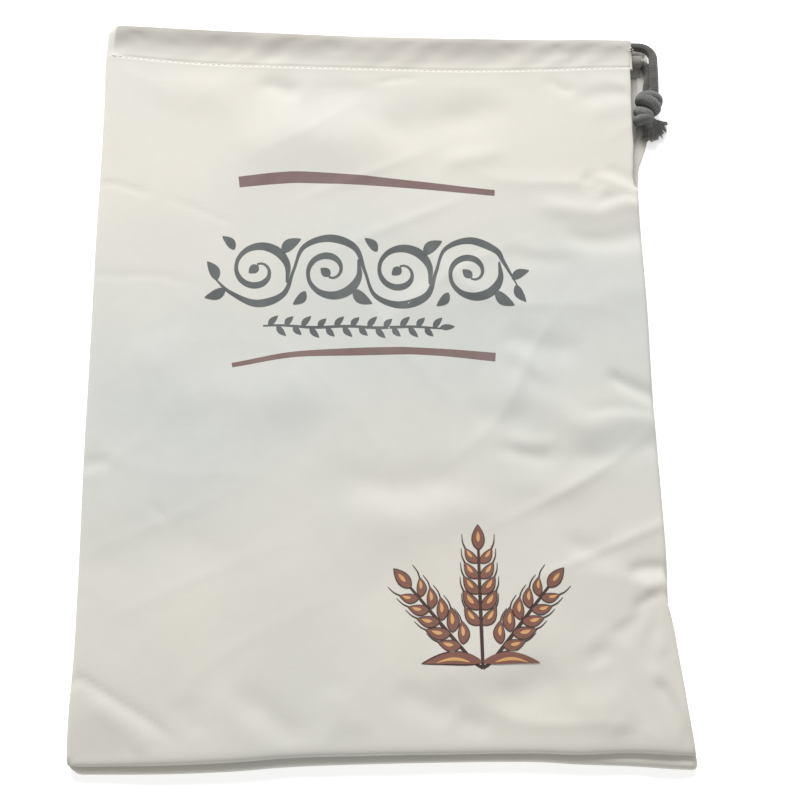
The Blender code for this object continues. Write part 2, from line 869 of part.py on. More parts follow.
def tube(
    name: str,
    points: list[Vector],
    radius: float,
    look: bpy.types.Material | None = None,
) -> bpy.types.Object:
    """Returns a round cord along points, as a curve with a bevel and filled ends."""
    curve = bpy.data.curves.new(name, "CURVE")
    curve.dimensions = "3D"
    curve.bevel_depth = radius * MM
    curve.bevel_resolution = 3
    curve.use_fill_caps = True
    spline = curve.splines.new("POLY")
    spline.points.add(len(points) - 1)
    for spline_point, point in zip(spline.points, points):
        spline_point.co = (*(Vector(point) * MM), 1.0)
    return add_object(name, curve, look)


def tube_cutter(name: str, points: list[Vector], radius: float) -> bpy.types.Object:
    """Returns the same shape as a closed mesh, to cut the casing's tunnel with."""
    guide = tube(name + "_guide", points, radius)
    bpy.context.view_layer.update()
    graph = bpy.context.evaluated_depsgraph_get()
    made = bpy.data.meshes.new_from_object(guide.evaluated_get(graph))
    bpy.data.objects.remove(guide, do_unlink=True)
    bm = bmesh.new()
    bm.from_mesh(made)
    bmesh.ops.remove_doubles(bm, verts=bm.verts, dist=0.00001)
    bmesh.ops.recalc_face_normals(bm, faces=bm.faces)
    bm.to_mesh(made)
    bm.free()
    return as_cutter(add_object(name, made))


def boolean(target: bpy.types.Object, other: bpy.types.Object, operation: str) -> None:
    """Adds an exact Boolean with one other solid."""
    modifier = target.modifiers.new(other.name, "BOOLEAN")
    modifier.operation = operation
    modifier.object = other


def leg_points(leg: Leg) -> list[Vector]:
    """Returns evenly spaced points on a leg's way from inside the casing to the knot."""
    route = []
    for x in (LEG_START, (LEG_START + leg.bend_x) / 2):
        route.append((x, smooth(TOP_EDGE, x) - leg.depth, leg.height))
    y = smooth(TOP_EDGE, leg.bend_x) - leg.depth
    for k in range(7):
        angle = math.pi / 2 * k / 6
        across = LEG_BEND_RADIUS * math.sin(angle)
        down = LEG_BEND_RADIUS * (1 - math.cos(angle))
        route.append((leg.bend_x + across, y - down, leg.height + leg.bend_rise * k / 6))
    return smooth_route(route + leg.rest, LEG_POINTS)


def make_bag_cloth(look: bpy.types.Material) -> None:
    """The bag itself: the outer skin less its inside, its mouth and the tunnel in its casing."""
    skin = Shell(graded(FRONT_COLUMNS), graded(FRONT_ROWS), FRONT_CASING_ROWS, 0.0)
    inside = Shell(graded(HOLLOW_COLUMNS), graded(HOLLOW_ROWS), [], CLOTH)
    bag = add_object("bag_cloth", skin.mesh("bag_cloth"), look)
    hollow = as_cutter(add_object("inside_cutter", inside.mesh("inside_cutter")))
    back_way_out = leg_points(LEGS[1])[1:14]
    tunnel = tube_cutter(
        "tunnel_cutter",
        casing_route(SLIT_X + 20, LEG_START) + back_way_out,
        TUNNEL_RADIUS,
    )
    for cutter in (hollow, mouth_cutter(), casing_layers_cutter(), tunnel):
        boolean(bag, cutter, "DIFFERENCE")


def make_drawstring(look: bpy.types.Material) -> None:
    """The one cord, in three stretches that meet end to end inside the casing."""
    run_end = LEG_START - FACE_GAP
    tube("drawstring_in_casing", casing_route(run_end, run_end), CORD_DIAMETER / 2, look)
    for leg in LEGS:
        tube(leg.name, leg_points(leg), CORD_DIAMETER / 2, look)


def make_knot(look: bpy.types.Material) -> None:
    """The overhand knot of both legs together: turns of cord round a core, as one solid."""
    bpy.ops.mesh.primitive_uv_sphere_add(segments=16, ring_count=10, radius=MM)
    knot = bpy.context.object
    knot.name = "drawstring_knot"
    place = Matrix.Translation(Vector((*KNOT_CORE_PLACE, KNOT_HEIGHT)) * MM)
    knot.data.transform(place @ Matrix.Diagonal((*KNOT_CORE, 1.0)))
    knot.data.materials.append(look)
    for number, wrap in enumerate(KNOT_WRAPS):
        bpy.ops.mesh.primitive_torus_add(
            major_radius=wrap.ring * MM,
            minor_radius=KNOT_CORD_RADIUS * MM,
            major_segments=22,
            minor_segments=10,
        )
        turn = bpy.context.object
        turn.name = f"knot_turn_{number}"
        place = Matrix.Translation(Vector((wrap.x, wrap.y, KNOT_HEIGHT)) * MM)
        upright = Matrix.Rotation(math.pi / 2, 4, "X")
        flatten = Matrix.Diagonal((1.0, 1.0, KNOT_FLATTENING, 1.0))
        turn.data.transform(place @ Matrix.Rotation(math.radians(wrap.turn), 4, "Z") @ flatten @ upright)
        boolean(knot, as_cutter(turn), "UNION")


def strand_mesh(bm: bmesh.types.BMesh, root: Vector, bend: Vector, tip: Vector) -> None:
    """Adds one three-sided strand that tapers from its root to its tip."""
    segments = 3
    loops = []
    for k in range(segments + 1):
        t = k / segments
        centre = root.lerp(bend, t).lerp(bend.lerp(tip, t), t)
        heading = (bend - root).lerp(tip - bend, t).normalized()
        side = heading.cross(Vector((0, 0, 1))).normalized()
        up = side.cross(heading)
        radius = STRAND_RADIUS * (1 - 0.45 * t)
        loop = []
        for corner in range(3):
            angle = math.radians(90 + 120 * corner)
            out = math.cos(angle) * side + math.sin(angle) * up
            loop.append(bm.verts.new((centre + radius * out) * MM))
        loops.append(loop)
    for first, second in zip(loops, loops[1:]):
        for k in range(3):
            after = (k + 1) % 3
            bm.faces.new((first[k], first[after], second[after], second[k]))
    bm.faces.new(list(reversed(loops[0])))
    bm.faces.new(loops[-1])


def make_frayed_end(end: FrayedEnd, look: bpy.types.Material) -> None:
    """A cut end of the cord: a short stub, and strands that fan out from it and come to lie level."""
    heading = Vector((math.cos(math.radians(end.heading)), math.sin(math.radians(end.heading)), 0))
    side = Vector((heading.y, -heading.x, 0))
    start = Vector((end.x, end.y, end.height))
    face = start + heading * STUB_LENGTH
    bpy.ops.mesh.primitive_cylinder_add(vertices=14, radius=STUB_RADIUS * MM, depth=STUB_LENGTH * MM)
    stub = bpy.context.object
    stub.name = end.name
    stand = heading.to_track_quat("Z", "Y").to_matrix().to_4x4()
    stub.data.transform(Matrix.Translation((start + face) / 2 * MM) @ stand)
    stub.data.materials.append(look)
    bm = bmesh.new()
    for row, up in enumerate(STRAND_ROWS):
        for k in range(STRANDS_A_ROW):
            place = k - (STRANDS_A_ROW - 1) / 2 + 0.25 * (-1) ** row
            angle = math.radians(end.heading - STRAND_FAN * place / STRANDS_A_ROW)
            out = Vector((math.cos(angle), math.sin(angle), 0))
            reach = end.reach * (1 - 0.1 * ((k + row) % 3))
            root = face - heading * STRAND_ROOT_SINK + side * place * STRAND_PITCH + Vector((0, 0, up))
            tip = face + side * place * STRAND_PITCH + out * reach
            tip.z = end.rest_height + STRAND_ROW_RISE * row
            bend = root + heading * STRAND_ROOT_SINK + out * reach * 0.35
            strand_mesh(bm, root, bend, tip)
    bmesh.ops.recalc_face_normals(bm, faces=bm.faces)
    strands = bpy.data.meshes.new(end.name + "_strands")
    bm.to_mesh(strands)
    bm.free()
    boolean(stub, as_cutter(add_object(end.name + "_strands", strands)), "UNION")


def main() -> None:
    """Builds the bag, its drawstring, the knot and the frayed ends."""
    clear_scene()
    cloth = material("off_white_cloth", (0.80, 0.78, 0.71), 0.78)
    cord = material("charcoal_cord", (0.115, 0.108, 0.102), 0.85)
    make_bag_cloth(cloth)
    make_drawstring(cord)
    make_knot(cord)
    for end in FRAYED_ENDS:
        make_frayed_end(end, cord)


main()
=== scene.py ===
"""Dresses a drawstring bread bag that lies flat and empty on its back, seen from nearly straight above.

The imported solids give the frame. On it come thin creased cloth with its hems and folded edges, lockstitch
along the casing, printed ornament, and a braided cord with its knot and frayed ends. Sizes are in
millimetres until a mesh is made. X runs across the bag, Y towards its mouth and Z up.
"""

import logging
import math
from dataclasses import dataclass, field
from enum import Enum

import bmesh
import bpy
import numpy as np
from mathutils import Matrix, Vector

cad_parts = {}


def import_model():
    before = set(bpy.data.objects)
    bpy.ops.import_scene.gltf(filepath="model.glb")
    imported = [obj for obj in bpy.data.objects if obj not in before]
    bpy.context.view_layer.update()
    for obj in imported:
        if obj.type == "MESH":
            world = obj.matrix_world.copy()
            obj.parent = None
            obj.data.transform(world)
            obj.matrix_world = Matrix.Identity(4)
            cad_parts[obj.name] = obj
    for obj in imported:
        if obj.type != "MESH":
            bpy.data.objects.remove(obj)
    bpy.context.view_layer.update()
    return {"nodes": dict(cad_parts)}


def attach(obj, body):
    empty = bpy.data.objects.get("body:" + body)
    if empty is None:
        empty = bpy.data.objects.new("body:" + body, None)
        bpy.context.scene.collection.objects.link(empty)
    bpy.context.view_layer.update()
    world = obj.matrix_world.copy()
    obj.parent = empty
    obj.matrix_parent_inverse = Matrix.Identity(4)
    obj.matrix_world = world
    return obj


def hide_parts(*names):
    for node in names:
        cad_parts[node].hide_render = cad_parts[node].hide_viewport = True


MM = 0.001
BODY = "root"

log = logging.getLogger("bread_bag")

Points = np.ndarray
Outline = np.ndarray
Place = tuple[float, float, float]
Colour = tuple[float, float, float]


@dataclass(frozen=True)
class Profile:
    """A smooth curve through a list of points."""

    points: tuple[tuple[float, float], ...]

    def at(self, along: float | np.ndarray) -> np.ndarray:
        """Reads the curve.

        Args:
            along: One place or an array of places.

        Returns:
            The values there, held level past both ends.
        """
        places, values = np.array(self.points, float).T
        slopes = np.gradient(values, places)
        held = np.clip(np.asarray(along, float), places[0], places[-1])
        left = np.clip(np.searchsorted(places, held) - 1, 0, len(places) - 2)
        span = places[left + 1] - places[left]
        t = (held - places[left]) / span
        rise = values[left + 1] - values[left]
        slope_in = slopes[left] * span
        slope_out = slopes[left + 1] * span
        return (
            values[left]
            + t * slope_in
            + t**2 * (3 * rise - 2 * slope_in - slope_out)
            + t**3 * (slope_in + slope_out - 2 * rise)
        )


def ramp(value: float | np.ndarray, start: float, length: float) -> np.ndarray:
    """How far along a ramp values are: 0 before its start and 1 past its end."""
    return np.clip((np.asarray(value, float) - start) / length, 0.0, 1.0)


def hump(value: np.ndarray, middle: float, spread: float) -> np.ndarray:
    """A smooth hump that is 1 at its middle and has died away at twice its spread from there."""
    return np.exp(-(((value - middle) / spread) ** 2))


# X of the folded side, by Y
LEFT_EDGE = Profile(
    (
        (-202, -149.8), (-193, -150.3), (-163, -150.8), (-143, -150.2), (-111, -150.4), (-79, -150.9),
        (-45, -151.6), (-10, -151.9), (26, -152.2), (76, -152.7), (129, -152.7), (156, -153.0),
        (170, -153.5), (184, -153.3), (202, -152.4),
    )
)

# X of the seam and, past the slit's lower end, of the back's edge, by Y
RIGHT_EDGE = Profile(
    (
        (-202, 155.0), (-197, 154.5), (-193, 152.5), (-181, 150.2), (-158, 147.9), (-142, 146.2),
        (-130, 145.0), (-118, 142.9), (-108, 143.2), (-96, 143.8), (-60, 144.0), (-9, 143.6), (40, 144.4),
        (75, 144.3), (101.9, 144.3), (113, 145.0), (119, 146.0), (125, 148.5), (136, 152.3), (150, 153.8),
        (166, 154.4), (183, 156.0), (202, 156.6),
    )
)

# How far in from the back's edge the front's lies at the slit, by Y
SLIT_REACH = Profile(
    (
        (101.9, 3.4), (108, 4.7), (117, 5.0), (125, 7.2), (136, 10.9), (150, 12.0), (166, 11.9),
        (183, 12.9), (202, 11.6),
    )
)

# Y of the mouth's edge, by X
MOUTH_EDGE = Profile(
    (
        (-153, 202.4), (-138, 202.2), (-116, 201.5), (-93, 200.8), (-60, 200.3), (-14, 199.6), (31, 199.9),
        (66, 200.3), (101, 201.0), (124, 201.8), (148, 202.0),
    )
)

# Y of the sewn end's outermost line, by X
SEWN_EDGE = Profile(
    (
        (-151, -200.0), (-98, -200.4), (-73, -199.7), (-47, -198.1), (-13, -197.3), (20, -197.0),
        (56, -197.0), (74, -197.4), (91, -198.6), (118, -199.9), (144, -201.8), (154, -202.2),
    )
)

# How wide the sewn end's lip is, as a share of its section, by X
SEAM_WIDTH = Profile(
    ((-151, 0.62), (-98, 0.72), (-47, 0.74), (0, 0.68), (56, 0.68), (92, 0.80), (118, 1.1), (154, 1.2))
)

# Depth of the casing's stitching below the mouth's edge, by X
STITCH_DEPTH = Profile(
    ((-153, 20.6), (-115, 22.6), (-68, 22.8), (-11, 22.0), (45, 22.3), (100, 20.7), (146, 19.1))
)

# Height of the front, by its place across the casing
CASING_HEIGHT = Profile(
    (
        (0.0, 10.9), (0.12, 10.8), (0.3, 10.5), (0.5, 10.15), (0.7, 9.9), (0.85, 9.85), (1.0, 9.95),
        (1.3, 9.8), (2.2, 9.6), (50.0, 9.6),
    )
)

# How much more the casing stands up between the cord and the stitching, by X
CASING_CREST = Profile(
    ((-153, 0.1), (-105, 0.5), (-60, 0.1), (-5, 0.5), (45, 0.2), (100, 0.4), (146, 0.1))
)


# A fold that ends farther out than this runs into the bag's side
BESIDE_EDGE = 134.0

# Any other end fades in over this share of the fold's length
FADE_SHARE = 0.34


@dataclass(frozen=True)
class Fold:
    """A trough or a ridge in the front: its two ends in plan, its half width and its height."""

    x0: float
    y0: float
    x1: float
    y1: float
    width: float
    height: float

    def fade(self, x: float, along: np.ndarray) -> np.ndarray:
        """How strong the fold is at shares of its length from an end: full at a side of the bag."""
        if abs(x) > BESIDE_EDGE:
            return np.ones_like(along)
        share = ramp(along, 0.0, FADE_SHARE)
        return share * share * (3 - 2 * share)

    def at(self, x: np.ndarray, y: np.ndarray) -> np.ndarray:
        """Height that this fold adds at points in plan."""
        along_x = self.x1 - self.x0
        along_y = self.y1 - self.y0
        t = ((x - self.x0) * along_x + (y - self.y0) * along_y) / (along_x**2 + along_y**2)
        nearest = np.clip(t, 0.0, 1.0)
        away = np.hypot(x - self.x0 - nearest * along_x, y - self.y0 - nearest * along_y)
        strength = self.fade(self.x0, nearest) * self.fade(self.x1, 1.0 - nearest)
        return self.height * strength * np.exp(-((away / self.width) ** 2))


# Where each fold lies is read off the photo. Its width and height are judged from the shading.
FOLDS = (
    # below the casing
    Fold(-66, 171, -44, 156, 7.0, -1.0),
    Fold(-44, 156, 11, 169, 8.0, -0.6),
    Fold(-91, 135, 10, 137, 14.0, 1.3),
    Fold(-7, 171, 29, 174, 1.8, -0.5),
    Fold(-128, 160, -73, 159, 12.0, 0.5),
    Fold(27, 146, 78, 152, 8.0, -0.5),
    Fold(94, 178, 113, 166, 4.0, -0.6),
    # pleats that run in from the slit
    Fold(108, 166, 142, 163, 5.0, -0.5),
    Fold(118, 174, 142, 172, 5.0, 0.3),
    Fold(116, 156, 142, 155, 6.0, 0.35),
    Fold(110, 116, 126, 104, 4.0, -0.7),
    Fold(118, 115, 142, 102, 3.2, 0.75),
    Fold(114, 98, 142, 100, 3.6, -0.7),
    Fold(122, 119, 142, 110, 3.4, -0.4),
    Fold(81, 95, 142, 95, 6.0, 1.0),
    Fold(95, 76, 141, 76, 6.5, -1.2),
    Fold(27, 115, 69, 128, 6.0, 0.6),
    # between the bars and beside them
    Fold(58, 61, 105, 68, 6.0, -0.5),
    Fold(66, 68, 119, 73, 5.0, 0.4),
    Fold(-2, 38, 62, 41, 12.0, 0.6),
    Fold(62, 19, 115, 11, 7.0, -0.9),
    Fold(64, 13, 92, -6, 5.0, 0.6),
    Fold(95, 39, 139, 45, 9.0, 0.4),
    # above the middle of the seam
    Fold(117, -0, 141, -15, 4.6, -1.3),
    Fold(88, -29, 142, -26, 7.5, 0.9),
    Fold(100, -19, 142, -24, 3.2, -0.5),
    Fold(38, -30, 78, -27, 8.0, -0.7),
    Fold(50, -46, 96, -46, 4.4, -0.7),
    Fold(86, -46, 142, -43, 6.0, -0.6),
    Fold(59, -39, 91, -40, 4.0, 0.5),
    # across the middle
    Fold(-36, -61, 52, -61, 10.0, -1.0),
    Fold(-24, -78, 69, -76, 12.0, 0.9),
    Fold(59, -62, 116, -60, 8.0, 0.6),
    Fold(88, -89, 121, -97, 6.0, -0.8),
    Fold(-117, -70, -105, -82, 2.2, -0.35),
    Fold(-68, -29, -28, -39, 14.0, -0.4),
    # pleats at the seam
    Fold(118, -107, 142, -106, 3.4, -1.2),
    Fold(125, -116, 140, -115, 3.2, 0.9),
    Fold(118, -124, 142, -121, 3.4, -1.1),
    Fold(130, -120, 112, -141, 6.5, -0.9),
    Fold(134, -127, 139, -145, 3.0, 0.5),
    # the lower right corner
    Fold(132, -128, 134, -158, 5.0, -0.6),
    Fold(135, -165, 143, -190, 3.6, -1.1),
    Fold(126, -177, 99, -193, 5.5, -0.9),
    Fold(90, -154, 52, -174, 8.0, -0.9),
    Fold(2, -160, 34, -177, 7.5, -0.9),
    Fold(30, -175, 47, -186, 5.0, -0.7),
    Fold(21, -151, 64, -164, 9.0, 0.6),
    Fold(105, -140, 107, -151, 6.0, -0.6),
    Fold(83, -174, 123, -164, 7.0, 0.7),
    # the lower left corner
    Fold(-148, -154, -96, -189, 1.7, -0.6),
    Fold(-148, -154, -96, -189, 5.0, -0.3),
    Fold(-135, -173, -111, -189, 6.0, 0.6),
    Fold(-126, -189, -116, -195, 2.0, -0.6),
    Fold(-73, -160, -36, -194, 9.0, -1.0),
    Fold(-88, -158, -55, -194, 9.0, 0.5),
    Fold(-98, -162, -88, -183, 6.0, -0.4),
    Fold(-27, -163, -18, -186, 9.0, 0.4),
    # faint press creases and a dent at the folded side
    Fold(-152, 103, -119, 96, 1.6, -0.35),
    Fold(-119, 96, -71, 82, 1.6, -0.25),
    Fold(-150, 49, -96, 48, 1.6, -0.25),
    Fold(-148, -53, -140, -54, 3.5, -0.6),
    # broad swells over the loose cloth
    Fold(-88, 124, 27, 124, 16.0, 1.0),
    Fold(-17, 142, 78, 148, 12.0, -0.9),
    Fold(-99, -14, -20, -17, 17.0, 1.1),
    Fold(-25, -126, 17, -93, 16.0, -0.6),
    Fold(16, -151, 105, -140, 17.0, 1.0),
    Fold(-139, -103, -78, -82, 15.0, -0.7),
    Fold(45, -5, 122, -34, 12.0, 0.9),
    Fold(-121, 19, -94, -29, 18.0, 0.7),
    # the lower corners, which sink
    Fold(-152, -200, -122, -207, 19.0, -2.1),
    Fold(130, -208, 153, -200, 14.0, -1.4),
)

CASING_FOLDS = (
    # the gather beside the front cord's way out
    Fold(130.5, 202.0, 137.0, 197.2, 1.5, 0.5),
    Fold(137.0, 197.2, 143.0, 195.4, 1.5, 0.4),
    Fold(136.5, 202.0, 143.0, 198.6, 2.4, -0.7),
    # gathers along the rest of it
    Fold(-139, 197, -128, 189, 2.6, -0.45),
    Fold(-121, 196, -106, 188, 2.4, 0.35),
    Fold(-96, 195, -84, 186, 3.0, -0.35),
    Fold(-34, 195, -20, 185, 3.2, -0.5),
    Fold(-14, 196, 2, 186, 3.0, 0.4),
    Fold(24, 195, 36, 186, 3.4, -0.35),
    Fold(66, 196, 79, 187, 3.0, -0.4),
    Fold(98, 196, 108, 188, 2.6, -0.4),
)


@dataclass(frozen=True)
class Wave:
    """A run of soft waves in plan: how slowly it turns along X and Y, its phase and its height."""

    along_x: float
    along_y: float
    phase: float = 0.0
    height: float = 1.0

    def at(self, x: np.ndarray, y: np.ndarray) -> np.ndarray:
        """Height of the waves at points in plan."""
        return self.height * np.sin(x / self.along_x + y / self.along_y + self.phase)


RIPPLES = (Wave(11.0, 17.0), Wave(23.0, -13.0, 1.3), Wave(7.5, 31.0, 0.6, 0.7))

# How far the folds stray from straight lines, along X and along Y
STRAY_X = (Wave(math.inf, 13.0, 0.7, 2.6), Wave(9.0, 5.7, 0.0, 1.2))
STRAY_Y = (Wave(15.0, math.inf, 1.1, 2.2), Wave(6.3, 11.0))


@dataclass(frozen=True)
class CordPlace:
    """Where one stretch of the cord runs in the casing, below the mouth's edge and above the surface."""

    depth: float
    height: float


FRONT_CORD = CordPlace(4.15, 6.95)
BACK_CORD = CordPlace(12.2, 3.95)


@dataclass
class BagShape:
    """The bag's outer shape as it lies: its edges, its front's height and its sections at the mouth."""

    fold_inset: float = 5.5
    slit_end: float = 101.9
    cord_clearing: float = 3.95
    front_cord: CordPlace = FRONT_CORD
    back_cord: CordPlace = BACK_CORD
    hem_height: float = 2.3
    casing_ceiling: float = 8.6
    stitched_layers: float = 1.25
    hem_allowance: float = 1.5
    crest_place: float = 0.62
    crest_spread: float = 0.24
    groove: float = 0.42
    groove_spread: float = 0.05
    groove_fade: float = 8.0
    soft_from: float = 1.05
    soft_over: float = 1.2
    ripple: float = 0.11
    fold_strength: float = 1.15
    crease_height: float = 0.92
    pucker: float = 0.30
    gather_strength: float = 0.85

    def casing_place(self, x: np.ndarray, y: np.ndarray) -> np.ndarray:
        """Where points lie across the casing: 0 on the front cord, 1 on the stitching, then 10 mm each."""
        depth = MOUTH_EDGE.at(x) - y
        stitching = STITCH_DEPTH.at(x)
        inside = (depth - self.front_cord.depth) / (stitching - self.front_cord.depth)
        return np.where(depth < stitching, inside, 1 + (depth - stitching) / 10)

    def casing_depth(self, x: np.ndarray, place: float) -> np.ndarray:
        """Depth below the mouth's edge of a place across the casing."""
        stitching = STITCH_DEPTH.at(x)
        if place < 1:
            return self.front_cord.depth + place * (stitching - self.front_cord.depth)
        return stitching + 10 * (place - 1)

    def front_height(self, x: np.ndarray, y: np.ndarray) -> np.ndarray:
        """Height of the front's outer face above the surface that the bag lies on."""
        x = np.asarray(x, float)
        y = np.asarray(y, float)
        place = self.casing_place(x, y)
        height = CASING_HEIGHT.at(place)
        height = height + CASING_CREST.at(x) * hump(place, self.crest_place, self.crest_spread)
        from_fold = ramp(x - LEFT_EDGE.at(y), self.fold_inset, self.groove_fade)
        height = height - from_fold * self.groove * hump(place, 1.0, self.groove_spread)
        bent_x = x + STRAY_X[0].at(x, y) + STRAY_X[1].at(x, y)
        bent_y = y + STRAY_Y[0].at(x, y) + STRAY_Y[1].at(x, y)
        folds = sum(fold.at(bent_x, bent_y) for fold in FOLDS)
        ripples = sum(wave.at(x, y) for wave in RIPPLES)
        soft = self.fold_strength * folds + self.ripple * ripples + self.creases(x, y)
        height = height + ramp(place, self.soft_from, self.soft_over) * soft
        return height + self.puckers(x, y, place)

    def creases(self, x: np.ndarray, y: np.ndarray) -> np.ndarray:
        """Soft slanting creases of washed cloth, invented, and stronger towards the seam than at the fold."""
        falling = 1 - np.abs(np.sin(x / 27.0 - y / 19.0 + 1.1 * np.sin(y / 31.0) + 0.4))
        rising = 1 - np.abs(np.sin(x / 34.0 + y / 23.0 + 0.9 * np.sin(x / 29.0) + 2.0))
        falling = falling**4 * (0.5 + 0.5 * np.sin(x / 37.0 + y / 53.0)) ** 2
        rising = rising**4 * (0.5 + 0.5 * np.sin(y / 41.0 - x / 61.0 + 1.0)) ** 2
        return self.crease_height * (falling + rising) * np.clip((x + 90.0) / 170.0, 0.25, 1.0)

    def puckers(self, x: np.ndarray, y: np.ndarray, place: np.ndarray) -> np.ndarray:
        """Small slanting gathers between the cord and the stitching."""
        slanted = x + 16.0 * place
        gathers = (
            np.sin(slanted / 3.4) * np.sin(slanted / 29.0 + 0.7) ** 2
            + 0.8 * np.sin(slanted / 5.1 + 2.0) * np.sin(slanted / 41.0) ** 2
        )
        inside = ramp(place, 0.0, 0.12) * ramp(1.0 - place, 0.0, 0.3)
        gathered = self.gather_strength * sum(fold.at(x, y) for fold in CASING_FOLDS)
        return (self.pucker * gathers + gathered) * inside

    def front_mouth(self, x: float, count: int) -> Points:
        """Section of the front's turned hem at one X.

        Args:
            x: Where the section is taken.
            count: How many points it gets.

        Returns:
            Depths and heights, from the top of the front cord round it and back to the hem's edge.
        """
        cord = self.front_cord
        angles = np.radians(np.linspace(90, 345, 26))
        round_cord = self.cord_clearing * np.column_stack([np.cos(angles), np.sin(angles)])
        loop = np.array((cord.depth, cord.height)) + round_cord
        stitching = float(STITCH_DEPTH.at(x))
        top = float(MOUTH_EDGE.at(x))
        at_stitch = float(self.front_height(x, top - stitching)) - self.stitched_layers
        at_end = float(self.front_height(x, top - stitching - self.hem_allowance)) - self.stitched_layers
        hem = [
            (9.2, self.casing_ceiling),
            (self.back_cord.depth, self.casing_ceiling),
            (stitching - 3.0, self.casing_ceiling),
            (stitching, at_stitch),
            (stitching + self.hem_allowance, at_end),
        ]
        return evenly(np.vstack([loop, hem]), count)

    def back_mouth(self, x: float, count: int) -> Points:
        """Section of the back's turned hem at one X, with the round of cloth over the back cord.

        Args:
            x: Where the section is taken.
            count: How many points it gets.

        Returns:
            Depths and heights, from under the front cord round the mouth's edge to the hem's edge.
        """
        end = float(STITCH_DEPTH.at(x)) + self.hem_allowance
        foot = math.asin((self.hem_height - self.back_cord.height) / self.cord_clearing)
        path = [(self.front_cord.depth, 0.0), (1.0, 0.0), (0.3, 0.25), (0.0, 0.9)]
        path += [(0.0, 1.5), (0.3, 2.1), (1.0, self.hem_height)]
        for k in range(13):
            angle = math.pi - foot - (math.pi - 2 * foot) * k / 12
            across = self.back_cord.depth + self.cord_clearing * math.cos(angle)
            path.append((across, self.back_cord.height + self.cord_clearing * math.sin(angle)))
        path += [(end - 1.0, self.stitched_layers + 0.2), (end, self.stitched_layers)]
        return evenly(np.array(path), count)


def evenly(path: Points, count: int) -> Points:
    """Reads a polyline at even steps.

    Args:
        path: Its points, one a row.
        count: How many points are wanted.

    Returns:
        The points, both ends included.
    """
    steps = np.linalg.norm(np.diff(path, axis=0), axis=1)
    lengths = np.concatenate([[0.0], np.cumsum(steps)])
    wanted = np.linspace(0.0, lengths[-1], count)
    return np.stack([np.interp(wanted, lengths, path[:, axis]) for axis in range(path.shape[1])], axis=1)


def smooth_route(route: list[tuple[float, float, float]], count: int) -> Points:
    """Reads a smooth curve through a route's own points.

    Args:
        route: The given points.
        count: How many points are wanted.

    Returns:
        Evenly spaced points on the curve.
    """
    knots = np.array(route, float)
    knots = np.vstack([2 * knots[0] - knots[1], knots, 2 * knots[-1] - knots[-2]])
    fine = []
    for before, start, end, after in zip(knots, knots[1:], knots[2:], knots[3:]):
        for k in range(16):
            t = k / 16
            fine.append(
                0.5
                * (
                    2 * start
                    + (end - before) * t
                    + (2 * before - 5 * start + 4 * end - after) * t**2
                    + (3 * start - before - 3 * end + after) * t**3
                )
            )
    fine.append(knots[-2])
    return evenly(np.array(fine), count)


def paired(first: np.ndarray, second: np.ndarray) -> np.ndarray:
    """Two coordinates side by side, each stretched over the other's rows or columns."""
    return np.stack(np.broadcast_arrays(first, second), axis=-1)


def graded(spans: list[tuple[float, float, int]]) -> np.ndarray:
    """Fractions that spans of even steps give, both ends included."""
    parts = [np.linspace(start, end, steps + 1)[:-1] for start, end, steps in spans]
    return np.concatenate([*parts, [spans[-1][1]]])


